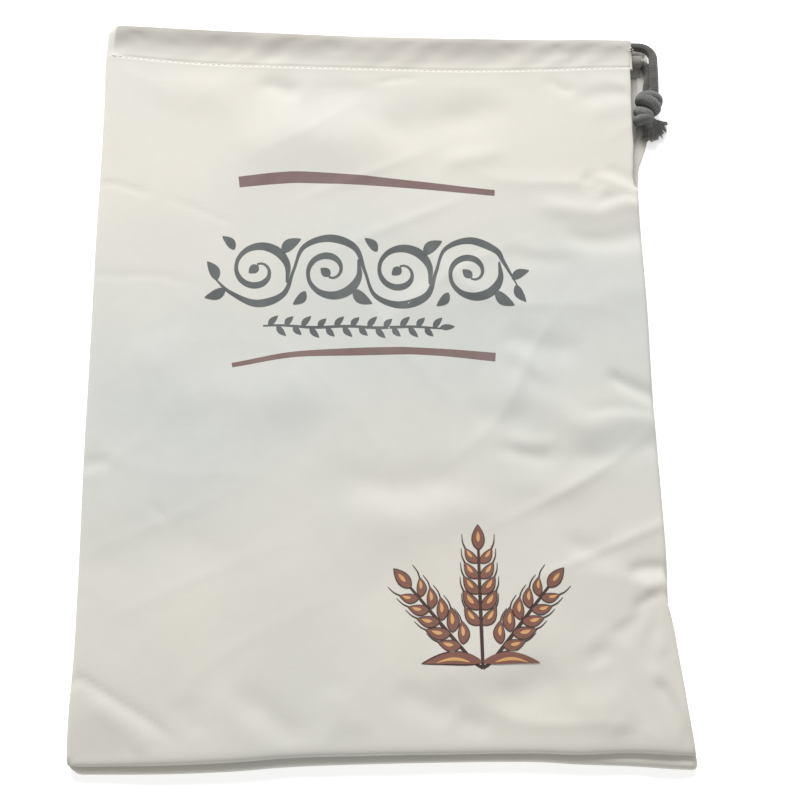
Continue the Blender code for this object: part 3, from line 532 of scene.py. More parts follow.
@dataclass
class MeshDraft:
    """Points, faces and their cloth or cord coordinates, gathered until a piece is complete."""

    points: list[tuple[float, float, float]] = field(default_factory=list)
    faces: list[tuple[int, ...]] = field(default_factory=list)
    uvs: list[tuple[float, float]] = field(default_factory=list)
    tones: dict[int, float] = field(default_factory=dict)

    def add_points(self, grid: Points) -> np.ndarray:
        """Adds points, in millimetres, and returns their numbers in the same layout."""
        flat = grid.reshape(-1, 3)
        start = len(self.points)
        self.points += [tuple(point) for point in flat.tolist()]
        return np.arange(start, start + len(flat)).reshape(grid.shape[:-1])

    def add_face(self, corners: list[int], uv: list[tuple[float, float]]) -> None:
        """Adds one face with its coordinates."""
        self.faces.append(tuple(corners))
        self.uvs += uv

    def add_quads(self, index: np.ndarray, uv: np.ndarray, flip: bool = False) -> None:
        """Adds a grid of four-sided faces.

        Args:
            index: Point numbers by row and column.
            uv: Cloth coordinates by row and column.
            flip: True where rows and columns run the other way round the outside.
        """
        rows, columns = index.shape
        for r in range(rows - 1):
            for c in range(columns - 1):
                ring = [(r, c), (r, c + 1), (r + 1, c + 1), (r + 1, c)]
                if flip:
                    ring.reverse()
                corners = [int(index[place]) for place in ring]
                if len(set(corners)) == 4:
                    self.add_face(corners, [tuple(uv[place]) for place in ring])

    def add_tube(
        self,
        route: Points,
        radii: np.ndarray | float,
        sides: int,
        braid: "Braid | None" = None,
    ) -> None:
        """Sweeps a round section along a route, with closed ends.

        Args:
            route: The middle line's points.
            radii: One radius, or one for each point.
            sides: Sides of the section.
            braid: The relief of the cord's strands, if it has one.
        """
        count = len(route)
        radii = np.broadcast_to(np.asarray(radii, float), (count,)).copy()
        heading = np.gradient(route, axis=0)
        heading /= np.linalg.norm(heading, axis=1)[:, None]
        side = np.cross(heading[0], (0.0, 0.0, 1.0))
        if np.linalg.norm(side) < 0.1:
            side = np.cross(heading[0], (1.0, 0.0, 0.0))
        side /= np.linalg.norm(side)
        lengths = np.concatenate([[0.0], np.cumsum(np.linalg.norm(np.diff(route, axis=0), axis=1))])
        turns = np.linspace(0, 2 * math.pi, sides + 1)
        rings = []
        for k in range(count):
            side = side - heading[k] * np.dot(side, heading[k])
            side /= np.linalg.norm(side)
            up = np.cross(side, heading[k])
            radius = np.full(sides, radii[k])
            if braid:
                radius = radius * braid.relief(turns[:-1], lengths[k])
            out = np.cos(turns[:-1])[:, None] * side + np.sin(turns[:-1])[:, None] * up
            rings.append(route[k] + radius[:, None] * out)
        index = self.add_points(np.array(rings))
        index = np.hstack([index, index[:, :1]])
        around = turns * float(radii.mean())
        uv = paired(lengths[:, None], around[None, :])
        self.add_quads(index, uv)
        for end, toward, flip in ((0, -heading[0], False), (count - 1, heading[-1], True)):
            tip = route[end] + toward * (0.45 * radii[end])
            number = int(self.add_points(tip[None, :])[0])
            for s in range(sides):
                corners = [int(index[end, s]), int(index[end, s + 1]), number]
                coords = [tuple(uv[end, s]), tuple(uv[end, s + 1]), tuple(uv[end, s])]
                if not flip:
                    corners.reverse()
                    coords.reverse()
                self.add_face(corners, coords)

    def finish(self, name: str, look: bpy.types.Material, angle: float = 60.0) -> bpy.types.Object:
        """Makes the piece, smooth but for its sharp edges.

        Args:
            name: The piece's name.
            look: Its material.
            angle: Edges sharper than this many degrees stay sharp.

        Returns:
            The object, selected and active, in metres.
        """
        mesh = bpy.data.meshes.new(name)
        mesh.from_pydata((np.array(self.points) * MM).tolist(), [], self.faces)
        layer = mesh.uv_layers.new(name="cloth_run")
        layer.data.foreach_set("uv", (np.array(self.uvs) * MM).ravel())
        # the casing's painted tone: the cord showing through its cloth, and painted shade
        if self.tones:
            tone = mesh.attributes.new("show_through", "FLOAT", "POINT")
            values = np.zeros(len(self.points))
            values[list(self.tones)] = list(self.tones.values())
            tone.data.foreach_set("value", values)
        mesh.validate()
        obj = add_object(name, mesh)
        obj.data.materials.append(look)
        bpy.ops.object.shade_smooth_by_angle(angle=math.radians(angle))
        return obj


def only_select(obj: bpy.types.Object) -> None:
    """Leaves one object selected and active, so that operators act on it alone."""
    bpy.ops.object.select_all(action="DESELECT")
    obj.select_set(True)
    bpy.context.view_layer.objects.active = obj


def add_object(name: str, data: bpy.types.Mesh | bpy.types.Curve) -> bpy.types.Object:
    """Puts a mesh or a curve in the scene as an object, the only one selected."""
    obj = bpy.data.objects.new(name, data)
    bpy.context.scene.collection.objects.link(obj)
    only_select(obj)
    return obj


class Shader:
    """A material's node tree with short ways to add and join nodes."""

    def __init__(self, name: str) -> None:
        """Starts a material with its Principled shader."""
        self.material = bpy.data.materials.new(name)
        self.material.use_nodes = True
        self.nodes = self.material.node_tree.nodes
        self.links = self.material.node_tree.links
        self.surface = self.nodes["Principled BSDF"]

    def node(self, kind: str, **settings: object) -> bpy.types.Node:
        """Adds a node of one kind with its settings."""
        made = self.nodes.new(kind)
        for key, value in settings.items():
            setattr(made, key, value)
        return made

    def feed(self, socket: bpy.types.NodeSocket, value: object) -> None:
        """Joins an output to an input, or sets the input's own value."""
        if isinstance(value, bpy.types.NodeSocket):
            self.links.new(value, socket)
        else:
            socket.default_value = value

    def math(
        self, operation: str, first: object, second: object = 0.0, clamp: bool = False
    ) -> bpy.types.NodeSocket:
        """One step of arithmetic.

        Args:
            operation: Blender's name for it.
            first: Its first number or output.
            second: Its second number or output.
            clamp: True to keep the result from 0 to 1.

        Returns:
            The node's output.
        """
        made = self.node("ShaderNodeMath", operation=operation, use_clamp=clamp)
        self.feed(made.inputs[0], first)
        self.feed(made.inputs[1], second)
        return made.outputs[0]

    def scaled(self, vector: bpy.types.NodeSocket, scale: tuple[float, float, float]) -> bpy.types.NodeSocket:
        """A coordinate stretched by a Mapping node."""
        made = self.node("ShaderNodeMapping")
        self.feed(made.inputs["Vector"], vector)
        made.inputs["Scale"].default_value = scale
        return made.outputs[0]

    def noise(self, vector: bpy.types.NodeSocket, scale: float, detail: float = 2.0) -> bpy.types.NodeSocket:
        """Soft noise from 0 to 1."""
        made = self.node("ShaderNodeTexNoise")
        self.feed(made.inputs["Vector"], vector)
        made.inputs["Scale"].default_value = scale
        made.inputs["Detail"].default_value = detail
        return made.outputs[0]

    def spread(self, value: bpy.types.NodeSocket, low: float, high: float) -> bpy.types.NodeSocket:
        """A value from low to high, spread over 0 to 1."""
        made = self.node("ShaderNodeMapRange", interpolation_type="SMOOTHSTEP")
        self.feed(made.inputs["Value"], value)
        made.inputs["From Min"].default_value = low
        made.inputs["From Max"].default_value = high
        return made.outputs[0]

    def blend(self, factor: object, first: object, second: object) -> bpy.types.NodeSocket:
        """A mix of two colours or outputs."""
        made = self.node("ShaderNodeMix", data_type="RGBA")
        self.feed(made.inputs[0], factor)
        for socket, value in ((made.inputs[6], first), (made.inputs[7], second)):
            self.feed(socket, (*value, 1.0) if isinstance(value, tuple) else value)
        return made.outputs[2]

    def bump(
        self, height: bpy.types.NodeSocket, strength: float, distance: float, after: object = None
    ) -> object:
        """Relief from a height in metres, on top of another relief if there is one."""
        made = self.node("ShaderNodeBump")
        made.inputs["Strength"].default_value = strength
        made.inputs["Distance"].default_value = distance
        self.feed(made.inputs["Height"], height)
        if after is not None:
            self.feed(made.inputs["Normal"], after)
        return made.outputs[0]

    def settle(
        self,
        base: bpy.types.NodeSocket,
        relief: object,
        roughness: float,
        sheen: float = 0.0,
        specular: float = 0.5,
    ) -> bpy.types.Material:
        """Joins colour and relief to the surface, sets how it shines, and returns the material."""
        self.feed(self.surface.inputs["Base Color"], base)
        self.feed(self.surface.inputs["Normal"], relief)
        self.surface.inputs["Roughness"].default_value = roughness
        self.surface.inputs["Sheen Weight"].default_value = sheen
        self.surface.inputs["Specular IOR Level"].default_value = specular
        return self.material

    def weave(self, pitch: float, strength: float) -> tuple[bpy.types.NodeSocket, bpy.types.NodeSocket]:
        """Plain weave that follows the cloth.

        Args:
            pitch: Distance from thread to thread, in metres.
            strength: How strong its relief is.

        Returns:
            The relief and the threads' pattern, from 0 in the gaps to 1 on the threads.
        """
        run = self.node("ShaderNodeTexCoord").outputs["UV"]
        split = self.node("ShaderNodeSeparateXYZ")
        self.feed(split.inputs[0], run)
        waves = []
        for axis in (0, 1):
            turned = self.math("MULTIPLY", split.outputs[axis], math.pi / pitch)
            waves.append(self.math("SINE", turned))
        over_under = self.math("ABSOLUTE", self.math("MULTIPLY", waves[0], waves[1]))
        slub = self.noise(self.scaled(run, (1800.0, 160.0, 1.0)), 1.0, 1.0)
        slub_across = self.noise(self.scaled(run, (160.0, 1800.0, 1.0)), 1.0, 1.0)
        threads = self.math("ADD", over_under, self.math("ADD", slub, slub_across))
        return self.bump(threads, strength, 0.00009), over_under


@dataclass(frozen=True)
class ClothFinish:
    """Off-white plain cotton, washed soft: a little warmer in some places than in others."""

    warm: Colour = (0.652, 0.627, 0.562)
    cool: Colour = (0.560, 0.575, 0.556)
    light: Colour = (0.694, 0.690, 0.650)
    gap: Colour = (0.50, 0.48, 0.43)
    # colour of the casing's painted tone, for the cord behind the cloth and for painted shade
    shaded: Colour = (0.185, 0.168, 0.152)
    roughness: float = 0.88
    sheen: float = 0.10
    specular: float = 0.25
    thread_pitch: float = 0.00042

    def material(self) -> bpy.types.Material:
        """The cloth's material, with weave, slubs, soft patches, and the cord showing through the casing with
        painted shade over it.
        """
        shader = Shader("off_white_cotton")
        relief, threads = shader.weave(self.thread_pitch, 0.22)
        place = shader.node("ShaderNodeTexCoord").outputs["Object"]
        split = shader.node("ShaderNodeSeparateXYZ")
        shader.feed(split.inputs[0], place)
        from_middle = shader.math("ABSOLUTE", split.outputs[1])
        ends = shader.math("MULTIPLY", shader.spread(from_middle, 0.02, 0.14), 0.66)
        patches = shader.spread(shader.noise(place, 7.0, 3.0), 0.34, 0.66)
        patches = shader.math("ADD", shader.math("MULTIPLY", patches, 0.55), ends, clamp=True)
        base = shader.blend(patches, self.cool, self.warm)
        fine = shader.spread(shader.noise(place, 120.0, 3.0), 0.2, 0.8)
        base = shader.blend(shader.math("MULTIPLY", fine, 0.16), base, self.light)
        gaps = shader.math("MULTIPLY", shader.math("SUBTRACT", 1.0, threads), 0.07)
        base = shader.blend(gaps, base, self.gap)
        # darker where the cord shows through the casing, with painted shade there too
        through = shader.node("ShaderNodeAttribute", attribute_name="show_through")
        base = shader.blend(through.outputs["Fac"], base, self.shaded)
        soft = shader.bump(shader.noise(place, 55.0, 4.0), 0.25, 0.0006, relief)
        return shader.settle(base, soft, self.roughness, self.sheen, self.specular)


@dataclass(frozen=True)
class CordFinish:
    """Charcoal cotton, matt and a little fuzzy."""

    name: str
    dark: Colour
    light: Colour
    roughness: float = 0.92
    sheen: float = 0.25
    specular: float = 0.2
    strand_pitch: float = 0.0021

    def material(self, follows_cord: bool = True) -> bpy.types.Material:
        """The cord's material.

        Args:
            follows_cord: True where the piece has coordinates along and round the cord.

        Returns:
            The material.
        """
        shader = Shader(self.name)
        coordinates = shader.node("ShaderNodeTexCoord")
        place = coordinates.outputs["Object"]
        run = coordinates.outputs["UV"] if follows_cord else place
        tint = shader.spread(shader.noise(place, 260.0, 3.0), 0.25, 0.75)
        base = shader.blend(shader.math("MULTIPLY", tint, 0.6), self.dark, self.light)
        fibres = shader.noise(shader.scaled(run, (900.0, 5200.0, 5200.0)), 1.0, 2.0)
        base = shader.blend(shader.math("MULTIPLY", shader.spread(fibres, 0.45, 0.8), 0.35), base, self.light)
        split = shader.node("ShaderNodeSeparateXYZ")
        shader.feed(split.inputs[0], run)
        twist = shader.math("ADD", split.outputs[0], split.outputs[1])
        counter = shader.math("SUBTRACT", split.outputs[0], split.outputs[1])
        turn = 2 * math.pi / self.strand_pitch
        crossing = shader.math(
            "MULTIPLY",
            shader.math("SINE", shader.math("MULTIPLY", twist, turn)),
            shader.math("SINE", shader.math("MULTIPLY", counter, turn)),
        )
        relief = shader.bump(crossing, 0.7, 0.00022)
        relief = shader.bump(fibres, 0.5, 0.00016, relief)
        return shader.settle(base, relief, self.roughness, self.sheen, self.specular)


@dataclass(frozen=True)
class ThreadFinish:
    """White sewing thread with its twist."""

    colour: Colour = (0.90, 0.88, 0.82)
    between: Colour = (0.74, 0.71, 0.64)
    roughness: float = 0.6

    def material(self) -> bpy.types.Material:
        """The thread's material."""
        shader = Shader("white_sewing_thread")
        run = shader.node("ShaderNodeTexCoord").outputs["UV"]
        ply = shader.noise(shader.scaled(run, (900.0, 2600.0, 1.0)), 1.0, 1.0)
        base = shader.blend(shader.math("MULTIPLY", ply, 0.3), self.colour, self.between)
        return shader.settle(base, shader.bump(ply, 0.4, 0.00006), self.roughness)


@dataclass(frozen=True)
class InkFinish:
    """Printing ink that has sunk into the weave and wears through a little on the threads."""

    name: str
    colour: Colour
    worn: Colour
    wear: float = 0.16
    roughness: float = 0.78
    specular: float = 0.3

    def material(self, pitch: float) -> bpy.types.Material:
        """The ink's material, on threads of the cloth's pitch."""
        shader = Shader(self.name)
        relief, threads = shader.weave(pitch, 0.35)
        place = shader.node("ShaderNodeTexCoord").outputs["Object"]
        patch = shader.spread(shader.noise(place, 60.0, 3.0), 0.3, 0.75)
        worn = shader.math("MULTIPLY", patch, self.wear)
        worn = shader.math("ADD", worn, shader.math("MULTIPLY", threads, 0.08))
        base = shader.blend(worn, self.colour, self.worn)
        return shader.settle(base, relief, self.roughness, specular=self.specular)


class Ink(Enum):
    """The printing inks."""

    BAR_BROWN = InkFinish("bar_brown_ink", (0.190, 0.125, 0.117), (0.38, 0.31, 0.29))
    SLATE = InkFinish("slate_ink", (0.098, 0.107, 0.107), (0.30, 0.31, 0.30))
    CRUST_BROWN = InkFinish("crust_brown_ink", (0.205, 0.092, 0.068), (0.34, 0.20, 0.16))
    WHEAT = InkFinish("wheat_ink", (0.62, 0.33, 0.13), (0.74, 0.52, 0.30))
    OUTLINE = InkFinish("outline_ink", (0.055, 0.034, 0.030), (0.20, 0.13, 0.11))


@dataclass(frozen=True)
class Braid:
    """The relief of a braided cord's strands."""

    bumps_around: int = 6
    pitch: float = 3.4
    depth: float = 0.055

    def relief(self, angles: np.ndarray, along: float) -> np.ndarray:
        """How much the radius grows or shrinks at angles round the cord, at one place along it."""
        run = 2 * math.pi * along / self.pitch
        half = self.bumps_around / 2
        return 1 + self.depth * np.cos(half * angles + run) * np.cos(half * angles - run)


class Side(Enum):
    """How a side of the bag turns from its front to its back: insets and shares of the height."""

    SEWN_END = (
        (12.5, 1.0), (9.6, 0.985), (7.9, 0.955), (6.8, 0.915), (6.15, 0.86), (5.8, 0.79), (5.6, 0.70),
        (5.5, 0.60), (5.35, 0.53), (5.05, 0.51), (4.2, 0.53), (2.9, 0.57), (1.7, 0.585), (0.7, 0.49),
        (0.0, 0.24), (0.35, 0.0),
    )
    SEAM = (
        (3.4, 1.0), (2.9, 0.98), (2.4, 0.93), (2.0, 0.86), (1.6, 0.77), (1.35, 0.66), (1.15, 0.54),
        (1.05, 0.44), (0.95, 0.38), (0.7, 0.35), (0.4, 0.30), (0.15, 0.24), (0.0, 0.17), (0.0, 0.10),
        (0.15, 0.04), (0.4, 0.0),
    )

    @property
    def steps(self) -> int:
        """How many steps the side takes."""
        return len(self.value) - 1


@dataclass(frozen=True)
class CasingCordAndShadeTone:
    """How dark the casing is painted: partly for the dark cord inside it, partly as painted shade over the
    casing and beside the slit.

    The front's tone reaches wider than the cord, and its strengths are fitted to the photo's brightness.
    """

    strength: float = 0.36
    reach: float = 11.2
    slant: float = 1.4
    mottle: float = 0.15
    fine_mottle: float = 0.05
    # extra patches of painted shade across the front casing
    darker: tuple[tuple[float, float, float, float], ...] = ((0.5, 0.8, -92.0, 56.0), (0.42, 1.2, 54.0, 24.0))
    wider_at_middle: float = 2.5
    narrower_at_slit: float = 2.4
    # painted shade on the mouth's rim above the front cord
    rim_painted_shade: float = 0.19
    back_strength: float = 0.22
    # the back casing beside the slit: the cord behind the cloth, and painted shade under the front cord
    slit_painted_shade: float = 0.62
    back_reach: float = 8.5
    faintest: float = 0.004

    def front(self, x: np.ndarray, depth: np.ndarray, cord_depth: float) -> np.ndarray:
        """How dark the front casing is at an X and a depth below the mouth's edge."""
        slanted = x + self.slant * depth
        uneven = 1.0 + self.mottle * np.sin(slanted / 12.0 + 1.0) * np.sin(slanted / 29.0)
        uneven = uneven + self.fine_mottle * np.sin(slanted / 4.3)
        for gain, lean, middle, spread in self.darker:
            uneven = uneven + gain * hump(x + lean * depth, middle, spread)
        reach = self.reach + self.wider_at_middle * hump(x, 2.0, 45.0)
        reach = reach - self.narrower_at_slit * ramp(x, 70.0, 30.0)
        past = np.clip(depth - cord_depth, 0.0, None)
        before = np.clip(cord_depth - depth, 0.0, None)
        return self.strength * uneven * np.exp(-((past / reach) ** 4)) * (1.0 + self.rim_painted_shade * before)

    def back(self, x: np.ndarray, depth: np.ndarray, cord_depth: float) -> np.ndarray:
        """How dark the back casing is, which is mostly beside the slit."""
        past = np.clip(depth - cord_depth, 0.0, None)
        # beside the slit most of this is painted shade
        strength = self.back_strength + self.slit_painted_shade * ramp(x, 112.0, 20.0)
        return strength * hump(past, 0.0, self.back_reach)


@dataclass
class BagCloth:
    """The one length of cloth: front, folded side, seam, sewn end, back, hems and slit edges."""

    shape: BagShape
    tone: CasingCordAndShadeTone = CasingCordAndShadeTone()
    thickness: float = 0.55
    columns: int = 142
    below_slit_rows: int = 138
    beside_slit_rows: int = 30
    hem_rows: int = 26
    drawn_back: float = 5.2
    hem_layer: float = 1.15
    stitch_mark: float = 0.35
    front_run: tuple[float, float] = (-146.5, 141.0)
    side_run: float = 13.0
    back_run: float = -318.0
    turned_run: tuple[float, ...] = (0.0, 0.3, 0.7, 1.1, 2.0, 4.7, 7.7)
    turned_edge: tuple[tuple[float, float], ...] = (
        (0.25, 0.22), (0.3, 0.62), (0.05, 1.0), (-0.8, 1.12), (-3.5, 1.12), (-6.5, 1.12),
    )
    corner_radii: tuple[float, float, float] = (7.0, 6.5, 7.0)
    casing_places: tuple[float, ...] = (
        2.55, 2.4, 2.25, 2.1, 1.95, 1.8, 1.65, 1.5, 1.38, 1.27, 1.18, 1.11, 1.06, 1.03, 1.0, 0.97, 0.94,
        0.89, 0.83, 0.76, 0.69, 0.62, 0.55, 0.47, 0.39, 0.31, 0.23, 0.15, 0.07, 0.0,
    )

    def __post_init__(self) -> None:
        """Settles the rows and columns."""
        self.first_y = -200.0 + Side.SEWN_END.value[0][0]
        self.last_y = 200.0 - 41.0
        split = (self.shape.slit_end - self.first_y) / (self.last_y - self.first_y)
        self.body = graded([(0.0, split, self.below_slit_rows), (split, 1.0, self.beside_slit_rows)])
        self.slit_row = self.below_slit_rows
        self.across = graded([(0.0, 0.05, 8), (0.05, 0.78, 90), (0.78, 1.0, self.columns - 98)])
        self.outer_rows = len(self.body) + len(self.casing_places)
        self.rows = self.outer_rows + self.hem_rows

    def nominal_y(self, row: int) -> float:
        """Y of a row before the edges' own curves."""
        if row < len(self.body):
            return self.first_y + (self.last_y - self.first_y) * float(self.body[row])
        place = self.casing_places[min(row, self.outer_rows - 1) - len(self.body)]
        return 200.0 - float(self.shape.casing_depth(0.0, place))

    def round_corner(self, x: float, y: float) -> tuple[float, float]:
        """Draws a plan point in where it is near one of the bag's three round corners."""
        left = x - float(LEFT_EDGE.at(y))
        right = float(RIGHT_EDGE.at(y)) - x
        top = float(MOUTH_EDGE.at(x)) - y
        bottom = y - float(SEWN_EDGE.at(x))
        for radius, across, down, sign_x, sign_y in (
            (self.corner_radii[0], left, top, 1, -1),
            (self.corner_radii[1], left, bottom, 1, 1),
            (self.corner_radii[2], right, bottom, -1, 1),
        ):
            if across < radius and down < radius:
                s = 1 - across / radius
                t = 1 - down / radius
                drawn_across = radius * (1 - s * math.sqrt(max(1 - t * t / 2, 0.0)))
                drawn_down = radius * (1 - t * math.sqrt(max(1 - s * s / 2, 0.0)))
                return x + sign_x * (drawn_across - across), y + sign_y * (drawn_down - down)
        return x, y

    def plan_row(
        self, row: int, left_in: float, right_in: float, bottom_in: float
    ) -> tuple[np.ndarray, np.ndarray]:
        """Plan points of one row of the front, the back or a side's step.

        Args:
            row: The row's number.
            left_in: How far in from the folded side's outermost line it starts.
            right_in: How far in from the right side's outermost line it ends.
            bottom_in: How far in from the sewn end's outermost line the first row is.

        Returns:
            X and Y at every column, before the corners are rounded.
        """
        y = self.nominal_y(row)
        left = float(LEFT_EDGE.at(y)) + left_in
        right = float(RIGHT_EDGE.at(y)) - right_in
        x = left + (right - left) * self.across
        low = SEWN_EDGE.at(x) + bottom_in * SEAM_WIDTH.at(x)
        high = MOUTH_EDGE.at(x) - self.shape.casing_depth(x, self.casing_places[0]) - 1.5
        if row < len(self.body):
            return x, low + (high - low) * self.body[row]
        if row < self.outer_rows:
            place = self.casing_places[row - len(self.body)]
            return x, MOUTH_EDGE.at(x) - self.shape.casing_depth(x, place)
        return x, MOUTH_EDGE.at(x) - self.shape.front_cord.depth

    def front_points(self) -> Points:
        """Every point of the front's outer face and of its turned hem, by row and column."""
        rows = []
        for row in range(self.outer_rows):
            y = self.nominal_y(row)
            slit = row > self.slit_row
            right_in = float(SLIT_REACH.at(y)) if slit else Side.SEAM.value[0][0]
            x, y_row = self.plan_row(row, self.shape.fold_inset, right_in, Side.SEWN_END.value[0][0])
            rounded = np.array([self.round_corner(*point) for point in zip(x, y_row)])
            z = self.shape.front_height(rounded[:, 0], rounded[:, 1])
            rows.append(np.column_stack([rounded, z]))
        x = rows[-1][:, 0]
        hems = np.array([self.shape.front_mouth(value, self.hem_rows + 1) for value in x])
        return self.with_hem(rows, x, hems)

    def back_points(self) -> Points:
        """Every point of the back's outer face and of its turned hem, by row and column."""
        rows = []
        for row in range(self.outer_rows):
            slit = row > self.slit_row
            right_in = 0.0 if slit else Side.SEAM.value[-1][0]
            x, y_row = self.plan_row(row, self.shape.fold_inset, right_in, Side.SEWN_END.value[-1][0])
            rounded = np.array([self.round_corner(*point) for point in zip(x, y_row)])
            from_stitch = MOUTH_EDGE.at(x) - STITCH_DEPTH.at(x) - y_row
            rows.append(np.column_stack([rounded, self.stitch_mark * hump(from_stitch, 0.0, 0.8)]))
        x = rows[-1][:, 0]
        hems = np.array([self.shape.back_mouth(value, self.hem_rows + 1) for value in x])
        return self.with_hem(rows, x, hems, self.drawn_back)

    def with_hem(
        self, rows: list[np.ndarray], x: np.ndarray, hems: Points, drawn_back: float = 0.0
    ) -> Points:
        """Adds a hem's rows to the outer face's rows.

        Args:
            rows: The outer face's rows, to which the hem's are added.
            x: X at every column.
            hems: The hem's depths and heights by column.
            drawn_back: How far the hem's slit edge lies back from the outer face's, where the cord comes out.

        Returns:
            All the rows.
        """
        for k in range(1, self.hem_rows + 1):
            near_slit = ramp(x - x[-1], -14.0, 14.0)
            moved = x - drawn_back * ramp(k, 4.0, 7.0) ** 1.5 * near_slit
            top = MOUTH_EDGE.at(moved)
            plan = np.array([self.round_corner(a, b) for a, b in zip(moved, top - hems[:, k, 0])])
            rows.append(np.column_stack([plan, hems[:, k, 1]]))
        return np.array(rows)

    def fold_chain(self, front: np.ndarray, back: np.ndarray, row: int, steps: int) -> Points:
        """Points round the folded side between one row's front and back, half round in section."""
        layer = self.hem_layer * float(ramp(row - self.outer_rows, 3.0, 6.0))
        bottom_in = [inset for inset, _ in Side.SEWN_END.value]
        points = [front]
        for k in range(1, steps):
            angle = math.pi / 2 - math.pi * k / steps
            reach = (self.shape.fold_inset - layer) * math.cos(angle) ** 0.8
            share = (1 + math.sin(angle)) / 2
            point = back + (front - back) * share
            point[0] = front[0] + (back[0] - front[0]) * (1 - share) - reach
            if row == 0:
                point[1] = float(SEWN_EDGE.at(point[0]) + bottom_in[k] * SEAM_WIDTH.at(point[0]))
                drop = Side.SEWN_END.value[k][1]
                point[2] = (share + drop) / 2 * front[2]
            point[0], point[1] = self.round_corner(point[0], point[1])
            points.append(point)
        points.append(back)
        return np.array(points)

    def side_chain(self, side: Side, front: np.ndarray, back: np.ndarray, row: int) -> Points:
        """Points down the seam or the sewn end between one place's front and back."""
        points = [front]
        for step in range(1, side.steps):
            inset, share = side.value[step]
            if side is Side.SEAM:
                x = float(RIGHT_EDGE.at(front[1])) - inset
                y = front[1] + (back[1] - front[1]) * step / side.steps
                if row == 0:
                    end_inset, end_share = Side.SEWN_END.value[step]
                    y = float(SEWN_EDGE.at(x) + end_inset * SEAM_WIDTH.at(x))
                    share = (share + end_share) / 2
            else:
                x = front[0] + (back[0] - front[0]) * step / side.steps
                y = float(SEWN_EDGE.at(x) + inset * SEAM_WIDTH.at(x))
            x, y = self.round_corner(x, y)
            points.append(np.array((x, y, share * front[2])))
        points.append(back)
        return np.array(points)

    def turned_columns(self, points: Points, first_row: int, sense: float) -> Points:
        """The allowance folded in along a slit edge, by row and step.

        Args:
            points: The front's or the back's points.
            first_row: The first row beside the slit.
            sense: 1 for the front and -1 for the back.

        Returns:
            Points of the folded allowance, the cloth's own edge not included.
        """
        edge = points[first_row:, -1]
        along = np.gradient(edge, axis=0)
        along /= np.linalg.norm(along, axis=1)[:, None]
        outward = np.cross((sense, 0.0, 0.0), along)
        outward /= np.linalg.norm(outward, axis=1)[:, None]
        steps = []
        for across, under in self.turned_edge:
            steps.append(edge + np.array((across, 0.0, 0.0)) - outward * under)
        return np.stack(steps, axis=1)

    def build(self, look: bpy.types.Material) -> bpy.types.Object:
        """Makes the bag's cloth as one thin closed piece.

        Args:
            look: The cloth's material.

        Returns:
            The finished piece.
        """
        draft = MeshDraft()
        front = self.front_points()
        back = self.back_points()
        run = np.concatenate([[0.0], np.cumsum(np.linalg.norm(np.diff(front[:, 60], axis=0), axis=1))])
        front_index = draft.add_points(front)
        front_uv = paired(front[:, :, 0], run[:, None])
        draft.add_quads(front_index, front_uv)
        back_index = draft.add_points(back)
        back_uv = paired(self.back_run - back[:, :, 0], run[:, None])
        self.add_back(draft, back_index, back_uv)
        self.add_sides(draft, front, back, front_index, back_index, run)
        first = self.slit_row + 1
        for points, index, uv, sense in (
            (front, front_index, front_uv, 1.0),
            (back, back_index, back_uv, -1.0),
        ):
            turned = draft.add_points(self.turned_columns(points, first, sense))
            strip = np.hstack([index[first:, -1:], turned])
            across = uv[first:, -1:, 0] + np.array(self.turned_run) * sense
            along = uv[first:, -1:, 1]
            strip_uv = paired(across, along)
            draft.add_quads(strip, strip_uv, flip=sense < 0)
        self.paint_cord_and_shade_tone(draft, front, front_index, back, back_index)
        obj = draft.finish("bag_cloth_dressed", look, 70.0)
        wall = obj.modifiers.new("cloth_thickness", "SOLIDIFY")
        wall.thickness = self.thickness * MM
        wall.offset = -1.0
        wall.use_rim = True
        bpy.ops.object.modifier_apply(modifier=wall.name)
        return obj

    def add_back(self, draft: MeshDraft, index: np.ndarray, uv: np.ndarray) -> None:
        """Adds the back: large flat cells on the body, and every row from the casing on."""
        last = index.shape[1] - 1
        top = len(self.body) - 1
        rows = sorted({*range(0, top, 6), self.slit_row, top})
        columns = sorted({*range(0, last, 6), last})
        for r0, r1 in zip(rows, rows[1:]):
            for c0, c1 in zip(columns, columns[1:]):
                ring = [(r, c0) for r in (range(r0, r1) if c0 == 0 else [r0])]
                ring += [(r1, c) for c in (range(c0, c1) if r1 == top else [c0])]
                ring += [(r, c1) for r in (range(r1, r0, -1) if c1 == last else [r1])]
                ring += [(r0, c) for c in (range(c1, c0, -1) if r0 == 0 else [c1])]
                draft.add_face([int(index[place]) for place in ring], [tuple(uv[place]) for place in ring])
        draft.add_quads(index[top:], uv[top:], flip=True)

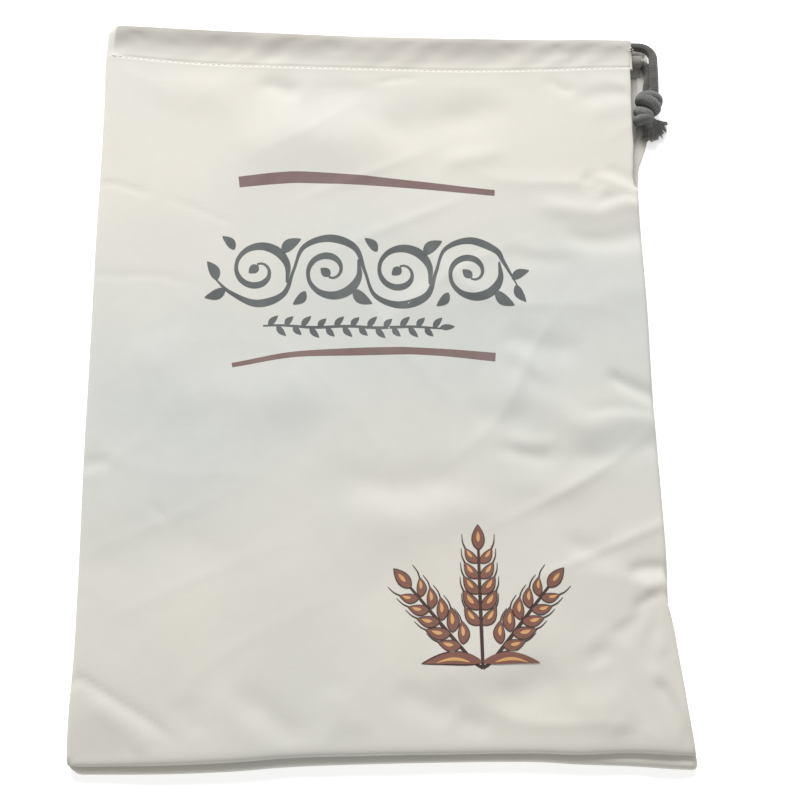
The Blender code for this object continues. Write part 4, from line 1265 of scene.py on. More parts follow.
    def add_sides(
        self,
        draft: MeshDraft,
        front: Points,
        back: Points,
        front_index: np.ndarray,
        back_index: np.ndarray,
        run: np.ndarray,
    ) -> None:
        """Adds the folded side, the seam and the sewn end, which share their corners' points."""
        steps = Side.SEWN_END.steps
        last = front_index.shape[1] - 1
        fold = []
        for row in range(self.rows):
            chain = self.fold_chain(front[row, 0], back[row, 0], row, steps)
            inner = draft.add_points(chain[1:-1])
            fold.append(np.concatenate([[front_index[row, 0]], inner, [back_index[row, 0]]]))
        seam = []
        for row in range(self.slit_row + 1):
            chain = self.side_chain(Side.SEAM, front[row, last], back[row, last], row)
            inner = draft.add_points(chain[1:-1])
            seam.append(np.concatenate([[front_index[row, last]], inner, [back_index[row, last]]]))
        end = [fold[0]]
        for column in range(1, last):
            chain = self.side_chain(Side.SEWN_END, front[0, column], back[0, column], 0)
            inner = draft.add_points(chain[1:-1])
            end.append(np.concatenate([[front_index[0, column]], inner, [back_index[0, column]]]))
        end.append(seam[0])
        drop = np.linspace(0.0, self.side_run, steps + 1)
        fold_uv = paired(self.front_run[0] - drop[None, :], run[:, None])
        draft.add_quads(np.array(fold), fold_uv, flip=True)
        beside_seam = self.front_run[1] + drop[None, :]
        seam_uv = paired(beside_seam, run[: len(seam), None])
        draft.add_quads(np.array(seam), seam_uv)
        end_uv = paired(front[0, :, 0][:, None], -drop[None, :])
        draft.add_quads(np.array(end), end_uv)

    def paint_cord_and_shade_tone(
        self,
        draft: MeshDraft,
        front: Points,
        front_index: np.ndarray,
        back: Points,
        back_index: np.ndarray,
    ) -> None:
        """Notes how dark each point of the casing is painted, for the dark cord behind its thin cloth and for
        painted shade.
        """
        for points, index, cord, tone in (
            (front, front_index, self.shape.front_cord, self.tone.front),
            (back, back_index, self.shape.back_cord, self.tone.back),
        ):
            x = points[:, :, 0]
            depth = MOUTH_EDGE.at(x) - points[:, :, 1]
            values = tone(x, depth, cord.depth)
            for number, value in zip(index.ravel().tolist(), values.ravel().tolist()):
                if value > self.tone.faintest:
                    draft.tones[number] = min(value, 1.0)


@dataclass
class CasingStitching:
    """The lockstitch that holds the casing, on the front and on the back."""

    shape: BagShape
    stitch_length: float = 2.95
    pitch: float = 3.2
    thread_radius: float = 0.17
    start: float = -149.5
    ends: tuple[float, float] = (140.5, 151.0)
    lift: tuple[float, float] = (0.22, 0.24)
    leans: tuple[float, float] = (-2.0, 2.5)
    cuts: tuple[float, ...] = (-0.9, 0.0, 0.9)

    def one_stitch(self) -> bpy.types.Mesh:
        """Models one stitch along X, its middle raised and its ends drawn in."""
        bpy.ops.mesh.primitive_cylinder_add(
            vertices=8,
            radius=self.thread_radius * MM,
            depth=self.stitch_length * MM,
            rotation=(0.0, math.pi / 2, 0.0),
        )
        stitch = bpy.context.object
        bpy.ops.object.transform_apply(location=True, rotation=True, scale=True)
        bpy.ops.object.mode_set(mode="EDIT")
        for cut in self.cuts:
            bpy.ops.mesh.select_all(action="SELECT")
            bpy.ops.mesh.bisect(plane_co=(cut * MM, 0, 0), plane_no=(1, 0, 0))
        bpy.ops.object.mode_set(mode="OBJECT")
        half = self.stitch_length / 2 * MM
        for vertex in stitch.data.vertices:
            along = vertex.co.x / half
            vertex.co.yz *= 1.0 - 0.45 * abs(along) ** 3
            vertex.co.z -= 0.00034 * along**2
        mesh = stitch.data.copy()
        bpy.data.objects.remove(stitch, do_unlink=True)
        return mesh

    def build(self, name: str, on_front: bool, look: bpy.types.Material) -> bpy.types.Object:
        """Lays copies of the stitch along the casing.

        Args:
            name: The piece's name.
            on_front: True for the front, False for the back.
            look: The thread's material.

        Returns:
            The finished row of stitches.
        """
        model = self.one_stitch()
        bm = bmesh.new()
        end = self.ends[0 if on_front else 1]
        for k in range(int((end - self.start) / self.pitch)):
            x = self.start + self.pitch * (k + 0.5)
            y = float(MOUTH_EDGE.at(x) - STITCH_DEPTH.at(x))
            ahead = float(MOUTH_EDGE.at(x + 1) - STITCH_DEPTH.at(x + 1)) - y
            if on_front:
                z = float(self.shape.front_height(x, y)) + self.lift[0]
                rise = float(self.shape.front_height(x + 1, y + ahead)) + self.lift[0] - z
            else:
                z = self.lift[1]
                rise = 0.0
            lean = math.radians(self.leans[k % 2])
            copy = model.copy()
            turn = Matrix.Rotation(math.atan2(ahead, 1.0) + lean, 4, "Z")
            turn = turn @ Matrix.Rotation(-math.atan(rise), 4, "Y")
            if not on_front:
                turn = turn @ Matrix.Rotation(math.pi, 4, "X")
            copy.transform(Matrix.Translation(Vector((x, y, z)) * MM) @ turn)
            bm.from_mesh(copy)
            bpy.data.meshes.remove(copy)
        mesh = bpy.data.meshes.new(name)
        bm.to_mesh(mesh)
        bm.free()
        bpy.data.meshes.remove(model)
        obj = add_object(name, mesh)
        obj.data.materials.append(look)
        bpy.ops.object.shade_smooth_by_angle(angle=math.radians(60))
        return obj


@dataclass(frozen=True)
class LegRoute:
    """One free leg of the cord: its place in the casing, its bend and the rest of its way."""

    name: str
    node: str
    cord: CordPlace
    bend_x: float
    bend_rise: float
    rest: tuple[Place, ...]
    exit_x: float


LEGS = (
    LegRoute(
        "cord_front_leg",
        "drawstring_front_leg",
        FRONT_CORD,
        148.5,
        2.2,
        (
            (156.6, 184.6, 9.9),
            (156.4, 178.6, 10.2),
            (156.1, 173.0, 10.2),
            (155.9, 168.6, 10.0),
            (155.6, 164.5, 9.4),
        ),
        143.8,
    ),
    LegRoute(
        "cord_back_leg",
        "drawstring_back_leg",
        BACK_CORD,
        147.1,
        0.7,
        (
            (155.0, 178.0, 4.9),
            (154.0, 174.6, 5.1),
            (153.4, 171.4, 5.1),
            (153.2, 168.6, 5.1),
            (153.1, 164.5, 5.4),
        ),
        153.4,
    ),
)


@dataclass
class Drawstring:
    """The cord's two free legs, from inside the casing to the knot."""

    radius: float = 2.5
    leg_start: float = 131.0
    bend_radius: float = 8.5
    bend_end: float = 180.0
    sides: int = 30
    braid: Braid = Braid()

    def route(self, leg: LegRoute) -> Points:
        """Middle line of one leg: straight out of the casing, a quarter turn, and on to the knot."""
        points = []
        for x in (self.leg_start, (self.leg_start + leg.bend_x) / 2):
            points.append((x, float(MOUTH_EDGE.at(x)) - leg.cord.depth, leg.cord.height))
        y = float(MOUTH_EDGE.at(leg.bend_x)) - leg.cord.depth
        for k in range(7):
            angle = math.pi / 2 * k / 6
            across = self.bend_radius * math.sin(angle)
            down = self.bend_radius * (1 - math.cos(angle))
            points.append((leg.bend_x + across, y - down, leg.cord.height + leg.bend_rise * k / 6))
        return smooth_route(points + list(leg.rest), 120)

    def build(self, leg: LegRoute, look: bpy.types.Material) -> bpy.types.Object:
        """Args:
            leg: Its route.
            look: The cord's material.

        Returns:
            The finished leg.
        """
        route = self.route(leg)
        draft = MeshDraft()
        draft.add_tube(route, self.radius, self.sides, self.braid)
        obj = draft.finish(leg.name, look, 75.0)
        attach(obj, BODY)
        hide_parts(leg.node)
        return obj


@dataclass
class Knot:
    """The knot that ties both legs: tight turns of cord round the two that pass through it."""

    cord_radius: float = 2.5
    height: float = 7.6
    flattening: float = 0.80
    sides: int = 30
    braid: Braid = Braid(8, 4.6, 0.035)
    wound: float = 4.0
    steps: int = 230
    radius: Profile = Profile(
        ((0.0, 2.8), (0.4, 3.25), (1.6, 3.35), (2.1, 3.0), (2.6, 3.1), (3.6, 2.9), (4.0, 2.5))
    )
    middle: Profile = Profile(
        ((0.0, 153.0), (0.5, 152.8), (1.5, 152.8), (2.5, 149.4), (3.5, 149.6), (4.0, 150.4))
    )
    along: Profile = Profile(
        ((0.0, 164.2), (0.5, 163.4), (1.5, 159.9), (2.0, 157.2), (2.5, 153.0), (3.5, 150.2), (4.0, 149.4))
    )
    ring: Profile = Profile(
        ((0.0, 2.6), (0.35, 4.2), (1.0, 4.8), (1.6, 4.6), (2.1, 3.7), (2.6, 3.1), (3.5, 3.0), (4.0, 2.0))
    )
    slant: Profile = Profile(
        ((0.0, 0.0), (0.5, -4.0), (1.0, -18.0), (1.5, -30.0), (2.0, -14.0))
        + ((2.5, 0.0), (3.0, 10.0), (3.5, 22.0), (4.0, 22.0))
    )

    def turns(self) -> Points:
        """Middle line of the wound turns, from under the legs to under the ends."""
        points = []
        for t in np.linspace(0.0, self.wound, self.steps):
            angle = math.radians(-90 - 360 * t)
            ring = float(self.ring.at(t))
            lean = math.radians(float(self.slant.at(t)))
            across = ring * math.cos(angle)
            points.append(
                (
                    float(self.middle.at(t)) + across * math.cos(lean),
                    float(self.along.at(t)) + across * math.sin(lean),
                    self.height + ring * self.flattening * math.sin(angle),
                )
            )
        return np.array(points)

    def build(self, look: bpy.types.Material) -> bpy.types.Object:
        """Makes the knot: its turns, the cords that pass through, and their ends below."""
        draft = MeshDraft()
        radii = self.radius.at(np.linspace(0.0, self.wound, self.steps))
        draft.add_tube(self.turns(), radii, self.sides, self.braid)
        through = [
            [(155.6, 168.8, 9.8), (154.6, 163.0, 8.6), (152.8, 157.0, 7.9), (151.8, 152.0, 7.3)],
            [(153.1, 168.8, 5.3), (152.4, 163.0, 6.2), (150.4, 157.0, 7.2), (150.2, 151.0, 7.4)],
        ]
        ends = [
            [(153.4, 150.9, 6.2), (155.0, 150.2, 5.2), (156.2, 149.7, 4.6)],
            [(151.4, 148.8, 6.4), (152.3, 147.6, 5.2), (152.6, 146.7, 4.6)],
        ]
        for upper, lower in zip(through, ends):
            route = smooth_route(upper + lower, 60)
            draft.add_tube(route, self.cord_radius, self.sides, self.braid)
        obj = draft.finish("cord_knot", look, 75.0)
        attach(obj, BODY)
        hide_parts("drawstring_knot")
        log.info("cord_knot: %d faces", len(obj.data.polygons))
        return obj


@dataclass(frozen=True)
class Tuft:
    """A cut end of the cord that has frayed: where its strands leave it and how they lie."""

    name: str
    node: str
    root: Place
    heading: float
    reach: float
    fan: float
    rest_height: float
    seed: int


TUFTS = (
    Tuft("frayed_strands_right", "frayed_end_right", (155.9, 149.7, 4.3), -34.0, 8.9, 52.0, 0.7, 3),
    Tuft("frayed_strands_low", "frayed_end_low", (152.8, 147.2, 4.4), -78.0, 8.9, 50.0, 1.9, 8),
)


@dataclass
class FrayedEnds:
    """The two tufts below the knot."""

    clumps: int = 22
    strands_a_clump: int = 9
    cord_radius: float = 2.3
    strand_radius: float = 0.24
    stub: tuple[float, ...] = (1.0, 1.04, 1.05, 1.05, 1.0, 0.92, 0.8, 0.6)

    def build(self, tuft: Tuft, look: bpy.types.Material) -> bpy.types.Object:
        """Makes one tuft: clumps of fine strands that spread and come to lie level.

        Args:
            tuft: Its place and its spread.
            look: The strands' material.

        Returns:
            The finished tuft.
        """
        rng = np.random.default_rng(tuft.seed)
        heading = math.radians(tuft.heading)
        forward = np.array((math.cos(heading), math.sin(heading), 0.0))
        side = np.array((-forward[1], forward[0], 0.0))
        up = np.array((0.0, 0.0, 1.0))
        root = np.array(tuft.root)
        draft = MeshDraft()
        for clump in range(self.clumps):
            spread = (clump + 0.5) / self.clumps * 2 - 1
            lean = heading + math.radians(tuft.fan) * spread * 0.75 + rng.normal(0, 0.06)
            level = rng.uniform(0.0, 1.0)
            reach = tuft.reach * (1 - 0.12 * abs(spread) + rng.uniform(-0.16, 0.12))
            for _ in range(self.strands_a_clump):
                place = self.cord_radius * math.sqrt(rng.uniform(0.0, 1.0))
                round_it = rng.uniform(0, 2 * math.pi)
                start = root - forward * 1.1
                start = start + side * (0.8 * place * math.cos(round_it) + 1.3 * spread)
                start = start + up * place * math.sin(round_it) * 0.8
                out_angle = lean + rng.normal(0, 0.07)
                out = np.array((math.cos(out_angle), math.sin(out_angle), 0.0))
                far = reach * rng.uniform(0.80, 1.0)
                tip = root + side * 1.5 * spread + out * far
                tip[2] = tuft.rest_height + level * 3.6 + rng.uniform(0.0, 0.5)
                middle = start + forward * 1.6 + out * far * 0.35
                route = smooth_route([tuple(start), tuple(middle), tuple((middle + tip) / 2), tuple(tip)], 6)
                radii = self.strand_radius * np.linspace(1.2, 0.35, 6)
                draft.add_tube(route, radii, 3)
        stub = smooth_route([tuple(root + forward * along) for along in (-2.2, -0.9, 0.3)], len(self.stub))
        draft.add_tube(stub, self.cord_radius * np.array(self.stub), 18)
        obj = draft.finish(tuft.name, look, 75.0)
        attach(obj, BODY)
        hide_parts(tuft.node)
        log.info("%s: %d strands", tuft.name, self.clumps * self.strands_a_clump)
        return obj


@dataclass
class LooseThreads:
    """Ends of white thread left where the casing's hem is cut off at the slit."""

    radius: float = 0.13
    routes: tuple[tuple[Place, ...], ...] = (
        (
            (141.6, 193.6, 10.6),
            (143.2, 193.0, 11.0),
            (144.6, 193.6, 10.4),
            (146.2, 192.6, 10.2),
            (147.6, 193.0, 10.0),
        ),
        ((143.0, 194.4, 10.7), (144.2, 195.2, 11.2), (145.0, 194.0, 10.8), (145.9, 194.2, 10.4)),
        ((150.4, 189.4, 8.4), (151.2, 188.2, 8.6), (152.4, 188.0, 8.2), (153.1, 187.0, 7.8)),
    )

    def build(self, look: bpy.types.Material) -> bpy.types.Object:
        """Makes the thread ends as one piece."""
        draft = MeshDraft()
        for route in self.routes:
            draft.add_tube(smooth_route(list(route), 18), self.radius, 6)
        obj = draft.finish("loose_thread_ends", look, 60.0)
        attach(obj, BODY)
        return obj


@dataclass
class PrintShop:
    """Prints on the front: each colour is a thin film laid on the cloth."""

    cloth: bpy.types.Object
    thread_pitch: float
    cell: float = 2.0
    thickness: float = 0.07
    run_start: float = 192.0
    start_height: float = 30.0

    def lay(self, name: str, passes: list[list[Outline]], ink: Ink, level: int = 0) -> bpy.types.Object:
        """Prints one colour in one or more passes, and joins them.

        Args:
            name: The piece's name.
            passes: The outlines of each pass. Those of one pass don't cross.
            ink: Its ink.
            level: How many films lie under it.

        Returns:
            The printed piece.
        """
        films = [self.film(name, outlines, level + k) for k, outlines in enumerate(passes)]
        only_select(films[0])
        for film in films[1:]:
            film.select_set(True)
        if len(films) > 1:
            bpy.ops.object.join()
        obj = films[0]
        obj.data.materials.clear()
        obj.data.materials.append(ink.value.material(self.thread_pitch))
        bpy.ops.object.shade_smooth()
        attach(obj, BODY)
        log.info("%s: %d faces", name, len(obj.data.polygons))
        return obj

    def film(self, name: str, outlines: list[Outline], level: int) -> bpy.types.Object:
        """Cuts a film to outlines, divides it finely and lays it on the cloth.

        Args:
            name: The piece's name.
            outlines: Closed outlines in plan, which don't cross.
            level: 0 for the lowest film, and one more for each on top.

        Returns:
            The film.
        """
        curve = bpy.data.curves.new(name, "CURVE")
        curve.dimensions = "2D"
        curve.fill_mode = "BOTH"
        for outline in outlines:
            spline = curve.splines.new("POLY")
            spline.points.add(len(outline) - 1)
            for point, place in zip(spline.points, outline):
                point.co = (place[0] * MM, place[1] * MM, 0.0, 1.0)
            spline.use_cyclic_u = True
        add_object(name, curve)
        bpy.ops.object.convert(target="MESH")
        obj = bpy.context.object
        self.divide(obj)
        wrap = obj.modifiers.new("lie_on_cloth", "SHRINKWRAP")
        wrap.wrap_method = "PROJECT"
        wrap.use_project_z = True
        wrap.use_negative_direction = True
        wrap.use_positive_direction = False
        wrap.target = self.cloth
        wrap.offset = self.thickness * (1 + 0.5 * level) * MM
        bpy.ops.object.modifier_apply(modifier=wrap.name)
        return obj

    def divide(self, obj: bpy.types.Object) -> None:
        """Cuts a flat film along a grid, so that it can follow the cloth, and gives it the cloth's run."""
        bm = bmesh.new()
        bm.from_mesh(obj.data)
        bmesh.ops.remove_doubles(bm, verts=bm.verts, dist=0.000002)
        bmesh.ops.dissolve_limit(bm, angle_limit=0.01, verts=[], edges=bm.edges)
        for axis in (0, 1):
            places = [vertex.co[axis] for vertex in bm.verts]
            first = math.floor(min(places) / (self.cell * MM))
            last = math.ceil(max(places) / (self.cell * MM))
            for k in range(first, last + 1):
                at = Vector((0.0, 0.0, 0.0))
                at[axis] = k * self.cell * MM
                facing = Vector((0.0, 0.0, 0.0))
                facing[axis] = 1.0
                geometry = bm.verts[:] + bm.edges[:] + bm.faces[:]
                bmesh.ops.bisect_plane(bm, geom=geometry, plane_co=at, plane_no=facing, dist=0.0000005)
        bmesh.ops.triangulate(bm, faces=bm.faces)
        layer = bm.loops.layers.uv.new("cloth_run")
        for face in bm.faces:
            if face.normal.z < 0:
                face.normal_flip()
            for loop in face.loops:
                loop[layer].uv = (loop.vert.co.x, loop.vert.co.y + self.run_start * MM)
        for vertex in bm.verts:
            vertex.co.z = self.start_height * MM
        bm.to_mesh(obj.data)
        bm.free()


def directions(degrees: float) -> tuple[np.ndarray, np.ndarray]:
    """Unit vectors in plan along a heading and to the left of it."""
    angle = math.radians(degrees)
    forward = np.array((math.cos(angle), math.sin(angle)))
    return forward, np.array((-forward[1], forward[0]))


def stroke(route: list[tuple[float, float]], widths: list[float], count: int = 60) -> Outline:
    """Outline of a pen stroke.

    Args:
        route: Points of its middle line.
        widths: Its widths at even steps from start to end.
        count: How many points each side gets.

    Returns:
        The closed outline.
    """
    line = smooth_route([(x, y, 0.0) for x, y in route], count)[:, :2]
    heading = np.gradient(line, axis=0)
    heading /= np.linalg.norm(heading, axis=1)[:, None]
    side = np.column_stack([-heading[:, 1], heading[:, 0]])
    t = np.linspace(0, len(widths) - 1, count)
    profile = Profile(tuple(enumerate(widths)))
    half = np.maximum(profile.at(t), 0.12)[:, None] / 2
    return np.vstack([line + side * half, (line - side * half)[::-1]])


def spiral(
    centre: tuple[float, float], start: float, end: float, first: float, last: float
) -> list[tuple[float, float]]:
    """Points of a curl.

    Args:
        centre: Its middle.
        start: First radius.
        end: Last radius.
        first: First angle in degrees.
        last: Last angle in degrees.

    Returns:
        Points from the first angle to the last.
    """
    points = []
    for k in range(15):
        t = k / 14
        radius = start + (end - start) * t
        angle = math.radians(first + (last - first) * t)
        points.append((centre[0] + radius * math.cos(angle), centre[1] + radius * math.sin(angle)))
    return points


def petal(base: np.ndarray, heading: float, length: float, width: float, bend: float = 0.0) -> Outline:
    """Outline of a leaf or a grain.

    Args:
        base: Where it grows from.
        heading: Its direction in degrees.
        length: From its base to its tip.
        width: Its greatest width.
        bend: How far its middle leans to the left.

    Returns:
        The closed outline.
    """
    forward, side = directions(heading)
    sides = []
    for sign in (1, -1):
        line = []
        for k in range(17):
            t = k / 16
            half = width / 2 * math.sin(math.pi * t**0.8) ** 0.85
            lean = bend * math.sin(math.pi * t)
            line.append(np.array(base) + forward * length * t + side * (sign * half + lean))
        sides.append(line)
    return np.array(sides[0] + sides[1][-2:0:-1])


@dataclass
class FrontPrints:
    """Two bars, a running vine between them with a sprig below it, and a sheaf of ears near the sewn end."""

    shop: PrintShop
    vine_middle: float = 54.5
    first_curl: float = -66.5
    curl_step: float = 38.0
    curls: int = 4
    wave: float = 19.0
    sprig_leaves: int = 21
    sprig_middle: float = 23.0
    sprig_ends: tuple[float, float] = (-61.0, 30.0)
    sheaf_foot: tuple[float, float] = (46.5, -153.5)
    grain_pairs: int = 5
    grain_spacing: float = 7.7

    def bars(self) -> list[bpy.types.Object]:
        """The two brown bars, each drawn by hand and a little uneven."""
        top_route = [(-77.5, 105.8), (-58.0, 108.2), (-39.7, 109.3), (1.7, 107.4), (62.0, 102.2)]
        low_route = [(-78.5, 1.1), (-44.6, 7.5), (0.7, 9.7), (29.0, 9.4), (59.0, 6.9)]
        top = stroke(top_route, [6.3, 6.7, 5.4, 4.3, 3.4])
        low = stroke(low_route, [2.4, 3.1, 4.2, 3.9, 4.8])
        return [
            self.shop.lay("print_upper_bar", [[top]], Ink.BAR_BROWN),
            self.shop.lay("print_lower_bar", [[low]], Ink.BAR_BROWN),
        ]

    def vine(self) -> list[bpy.types.Object]:
        """A stem that waves from side to side, with a curl and leaves in each of its bends."""
        middle = self.vine_middle
        half = self.curl_step / 2
        first = self.first_curl
        stem = [(first - 22.0, middle - 5.5), (first - 14.0, middle - 13.0)]
        curls = []
        leaves = []
        for k in range(self.curls):
            x = first + self.curl_step * k
            sign = 1.0 if k % 2 == 0 else -1.0
            stem += [(x, middle - sign * self.wave), (x + 0.72 * half, middle - sign * 0.72 * self.wave)]
            if k < self.curls - 1:
                stem += [(x + half, middle), (x + 1.28 * half, middle + sign * 0.72 * self.wave)]
            turn = spiral((x, 0.0), 17.0, 3.4, -24, 455)
            curl = [(a, middle + sign * b) for a, b in turn]
            curls.append(stroke(curl, [1.0, 3.2, 4.9, 4.4, 2.8, 2.0, 3.0, 3.6, 1.8, 1.0], 120))
            leaves.append(petal((x + 0.4, middle + sign * 2.6), -140 * sign, 6.6, 5.0))
            leaves.append(petal((x + 12.6, middle + sign * 10.4), 38 * sign, 13.0, 6.2, 1.2 * sign))
            leaves.append(petal((x - 12.4, middle + sign * 11.8), 132 * sign, 10.0, 4.8, -1.0 * sign))
        last = first + self.curl_step * (self.curls - 1)
        stem += [(last + 0.95 * half, middle + 0.35 * self.wave), (last + 25.0, middle - 7.0)]
        widths = [0.8, 2.6, 4.4, 2.4, 1.6, 3.2, 4.6, 2.6, 1.6, 3.2, 4.6, 2.6, 1.6, 3.2, 4.4, 2.2, 0.6]
        ends = [
            petal((first - 21.0, middle - 6.0), 118, 12.0, 5.6, -1.0),
            petal((first - 16.5, middle - 11.0), 205, 12.0, 5.6, 1.0),
            petal((last + 22.0, middle - 3.0), 28, 11.0, 5.0, 1.0),
            petal((last + 24.0, middle - 6.5), -62, 11.0, 5.0, -1.0),
        ]
        passes = [[stroke(stem, widths, 220)], curls[0::2], curls[1::2]]
        passes += [leaves[0::3] + ends[0::2], leaves[1::3], leaves[2::3] + ends[1::2]]
        return [self.shop.lay("print_vine", passes, Ink.SLATE)]

    def sprig(self) -> list[bpy.types.Object]:
        """A thin level stem with small leaves on both sides, under the vine."""
        left, right = self.sprig_ends
        middle = self.sprig_middle
        leaves = []
        for k in range(self.sprig_leaves):
            x = left + (right - left) * (k + 0.2) / self.sprig_leaves
            y = middle + 0.45 * math.sin(k * 0.8)
            above = k % 2 == 0
            size = 7.6 if k % 4 < 2 else 6.6
            leaves.append(petal((x, y), 50 if above else -50, size, 3.3, 0.4 if above else -0.4))
        stem = []
        for k in range(13):
            stem.append((left - 2.0 + (right - left + 3.0) * k / 12, middle + 0.45 * math.sin(k * 1.4)))
        tip = petal((right, middle + 0.2), 4, 8.0, 3.2)
        passes = [[stroke(stem, [0.9, 1.5, 1.5, 1.5, 0.9], 110)], leaves, [tip]]
        return [self.shop.lay("print_sprig", passes, Ink.SLATE)]

    def ear(
        self, lean: float, reach: float
    ) -> tuple[list[Outline], list[Outline], list[Outline], list[Outline]]:
        """One ear of wheat on its stem.

        Args:
            lean: How far it leans to the left, in degrees.
            reach: How far from the foot its lowest grains are.

        Returns:
            Its stem and awns, its grains, their outlines and their highlights.
        """
        forward, side = directions(90 + lean)
        foot = np.array(self.sheaf_foot)
        base = foot + forward * reach
        length = self.grain_spacing * self.grain_pairs
        bend = foot + forward * reach * 0.6 + side * 0.03 * lean
        lines = [stroke([tuple(foot), tuple(bend), tuple(base + forward * length)], [1.6, 1.8, 1.3], 40)]
        grains = []
        edges = []
        lights = []
        for k in range(self.grain_pairs):
            size = 1.0 - 0.07 * abs(k - 1.0)
            at = base + forward * self.grain_spacing * k
            for sign in (1, -1):
                heading = 90 + lean + sign * 39
                toward = directions(heading)[0]
                start = at + side * sign * 0.9
                grains.append(petal(start, heading, 11.6 * size, 5.5 * size, 0.7 * sign))
                edges.append(petal(start - toward * 0.5, heading, 12.7 * size, 6.5 * size, 0.7 * sign))
                light = start + toward * 3.4 + side * sign * 0.2
                lights.append(petal(light, heading - 3 * sign, 5.6 * size, 1.9 * size, 0.3 * sign))
                tip = start + toward * 11.2 * size
                awn = [tip, tip + toward * 2.2 + forward * 1.6, tip + toward * 2.8 + forward * 5.2]
                lines.append(stroke([tuple(point) for point in awn], [0.8, 0.6, 0.3], 12))
        top = base + forward * (length - 1.0)
        grains.append(petal(top, 90 + lean, 12.0, 5.8))
        edges.append(petal(top - forward * 0.5, 90 + lean, 13.1, 6.8))
        lights.append(petal(top + forward * 3.6, 90 + lean, 5.4, 1.8))
        return lines, grains, edges, lights

    def sheaf(self) -> list[bpy.types.Object]:
        """Three brown ears of wheat with tan lights on one foot, and two leaves below them."""
        leaf_base = np.array(self.sheaf_foot) + np.array((0.0, 3.0))
        lines: list[list[Outline]] = []
        edges: list[list[Outline]] = [[], [], [], []]
        grains: list[list[Outline]] = [[], []]
        lights: list[Outline] = []
        for lean, reach in ((41.0, 15.0), (-41.0, 15.0), (0.0, 21.0)):
            ear_lines, ear_grains, ear_edges, ear_lights = self.ear(lean, reach)
            lines += [ear_lines[:1], ear_lines[1:]]
            for k, (grain, edge) in enumerate(zip(ear_grains, ear_edges)):
                edges[k % 4].append(edge)
                grains[(k // 2) % 2].append(grain)
            lights += ear_lights
        for number, (heading, bend) in enumerate(((181.0, -2.2), (-1.0, 2.2))):
            edges[number].append(petal(leaf_base, heading, 30.0, 7.0, bend))
            grains[number].append(petal(leaf_base, heading, 28.6, 5.8, bend))
            vein = leaf_base + directions(heading)[0] * 6
            lights.append(petal(vein, heading, 17.0, 1.6, bend * 0.8))
        return [
            self.shop.lay("print_sheaf_stems", lines, Ink.OUTLINE),
            self.shop.lay("print_sheaf_edges", edges, Ink.OUTLINE, 3),
            self.shop.lay("print_sheaf_grains", grains, Ink.CRUST_BROWN, 7),
            self.shop.lay("print_sheaf_lights", [lights], Ink.WHEAT, 9),
        ]

    def build(self) -> list[bpy.types.Object]:
        """Lays every print on the cloth and returns them."""
        return self.bars() + self.vine() + self.sprig() + self.sheaf()


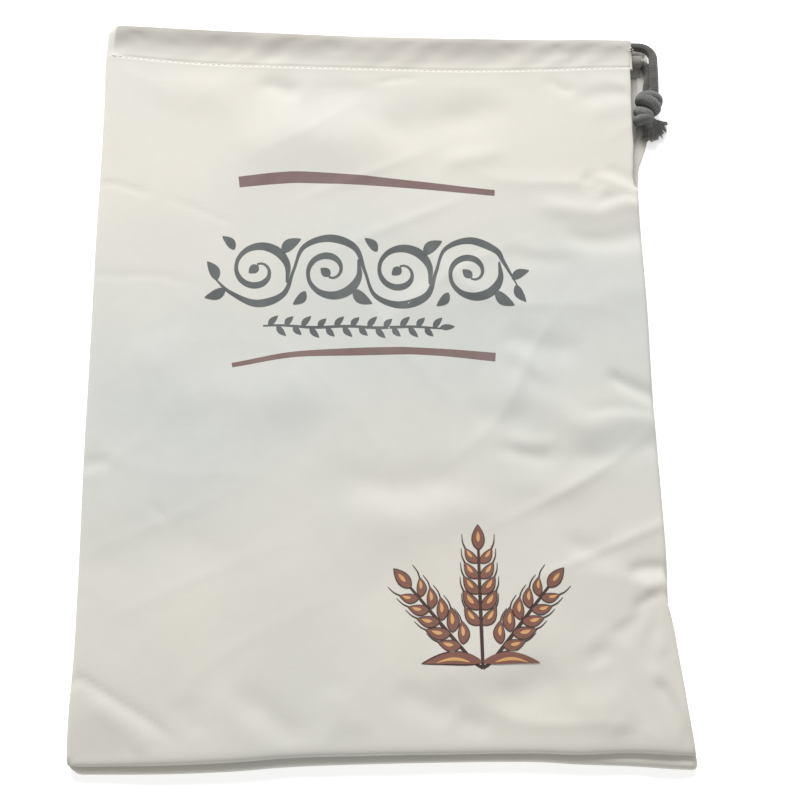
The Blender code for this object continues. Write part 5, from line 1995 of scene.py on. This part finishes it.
@dataclass
class Studio:
    """A pale floor, soft light from above and the camera at the photograph's place."""

    camera_place: tuple[float, float, float] = (-0.0349, -0.1998, 0.600)
    right: tuple[float, float, float] = (0.99755, -0.01382, 0.06853)
    up: tuple[float, float, float] = (-0.00700, 0.95563, 0.29450)
    forward: tuple[float, float, float] = (0.06956, 0.29426, -0.95319)
    lens: float = 54.0

    def add_camera(self) -> None:
        """Creates the camera and makes it the scene's own."""
        bpy.ops.object.camera_add()
        camera = bpy.context.object
        camera.name = "camera"
        turn = Matrix((self.right, self.up, [-value for value in self.forward])).transposed().to_4x4()
        camera.matrix_world = Matrix.Translation(self.camera_place) @ turn
        camera.data.lens = self.lens
        camera.data.sensor_width = 36.0
        camera.data.clip_start = 0.01
        bpy.context.scene.camera = camera

    def add_floor(self) -> None:
        """Creates the pale floor, which glows a little so that it stays plain."""
        bpy.ops.mesh.primitive_plane_add(size=6.0)
        floor = bpy.context.object
        floor.name = "floor"
        shader = Shader("pale_floor")
        shader.surface.inputs["Base Color"].default_value = (0.95, 0.95, 0.95, 1.0)
        shader.surface.inputs["Emission Color"].default_value = (1.0, 1.0, 1.0, 1.0)
        shader.surface.inputs["Emission Strength"].default_value = 0.45
        shader.surface.inputs["Roughness"].default_value = 0.9
        shader.surface.inputs["Specular IOR Level"].default_value = 0.1
        floor.data.materials.append(shader.material)

    def add_lights(self) -> None:
        """Creates an even pale surround and a large soft light above, a little to the upper right."""
        world = bpy.data.worlds.new("pale_surround")
        world.use_nodes = True
        world.node_tree.nodes["Background"].inputs[0].default_value = (1.0, 1.0, 1.0, 1.0)
        world.node_tree.nodes["Background"].inputs[1].default_value = 0.50
        bpy.context.scene.world = world
        bpy.ops.object.light_add(type="AREA", location=(-0.25, 1.6, 1.1))
        lamp = bpy.context.object
        lamp.name = "soft_box"
        lamp.data.shape = "RECTANGLE"
        lamp.data.size = 1.1
        lamp.data.size_y = 0.8
        lamp.data.energy = 47.0
        aim = Vector((0.0, 0.0, 0.0)) - lamp.location
        lamp.rotation_euler = aim.to_track_quat("-Z", "Y").to_euler()

    def build(self) -> None:
        """Sets the camera, the floor, the lights and plain colour."""
        self.add_camera()
        self.add_floor()
        self.add_lights()
        bpy.context.scene.view_settings.view_transform = "Standard"
        bpy.context.scene.view_settings.look = "None"


def main() -> None:
    """Builds the dressed bag on its frame and logs most of its pieces."""
    logging.basicConfig(level=logging.INFO, format="%(message)s")
    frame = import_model()
    Studio().build()
    charcoal = CordFinish("charcoal_cotton_cord", (0.074, 0.070, 0.066), (0.128, 0.121, 0.113))
    cord_look = charcoal.material()
    drawstring = Drawstring()
    for leg in LEGS:
        drawstring.build(leg, cord_look)
    # The knot and the tufts get brighter copies of the cord's colours: painted light that offsets the shade
    # in their turns and strands.
    knot_brightened_look = CordFinish("charcoal_cord_brightened_for_knot_shade", (0.122, 0.122, 0.118), (0.196, 0.195, 0.187)).material()
    Knot().build(knot_brightened_look)
    strands = CordFinish("charcoal_cord_brightened_for_tuft_shade", (0.190, 0.187, 0.180), (0.320, 0.315, 0.300))
    tuft_brightened_look = strands.material()
    for tuft in TUFTS:
        FrayedEnds().build(tuft, tuft_brightened_look)
    hidden_cord = frame["nodes"]["drawstring_in_casing"]
    for slot in hidden_cord.material_slots:
        slot.material = charcoal.material(follows_cord=False)
    shape = BagShape()
    finish = ClothFinish()
    cloth = BagCloth(shape).build(finish.material())
    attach(cloth, BODY)
    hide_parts("bag_cloth")
    log.info("%s: %d faces", cloth.name, len(cloth.data.polygons))
    thread = ThreadFinish().material()
    rows = []
    for name, on_front in (("casing_stitching_front", True), ("casing_stitching_back", False)):
        row = CasingStitching(shape).build(name, on_front, thread)
        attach(row, BODY)
        rows.append(row)
        log.info("%s: %d faces", name, len(row.data.polygons))
    rows.append(LooseThreads().build(thread))
    rows += FrontPrints(PrintShop(cloth, finish.thread_pitch)).build()


if __name__ == "__main__":
    main()
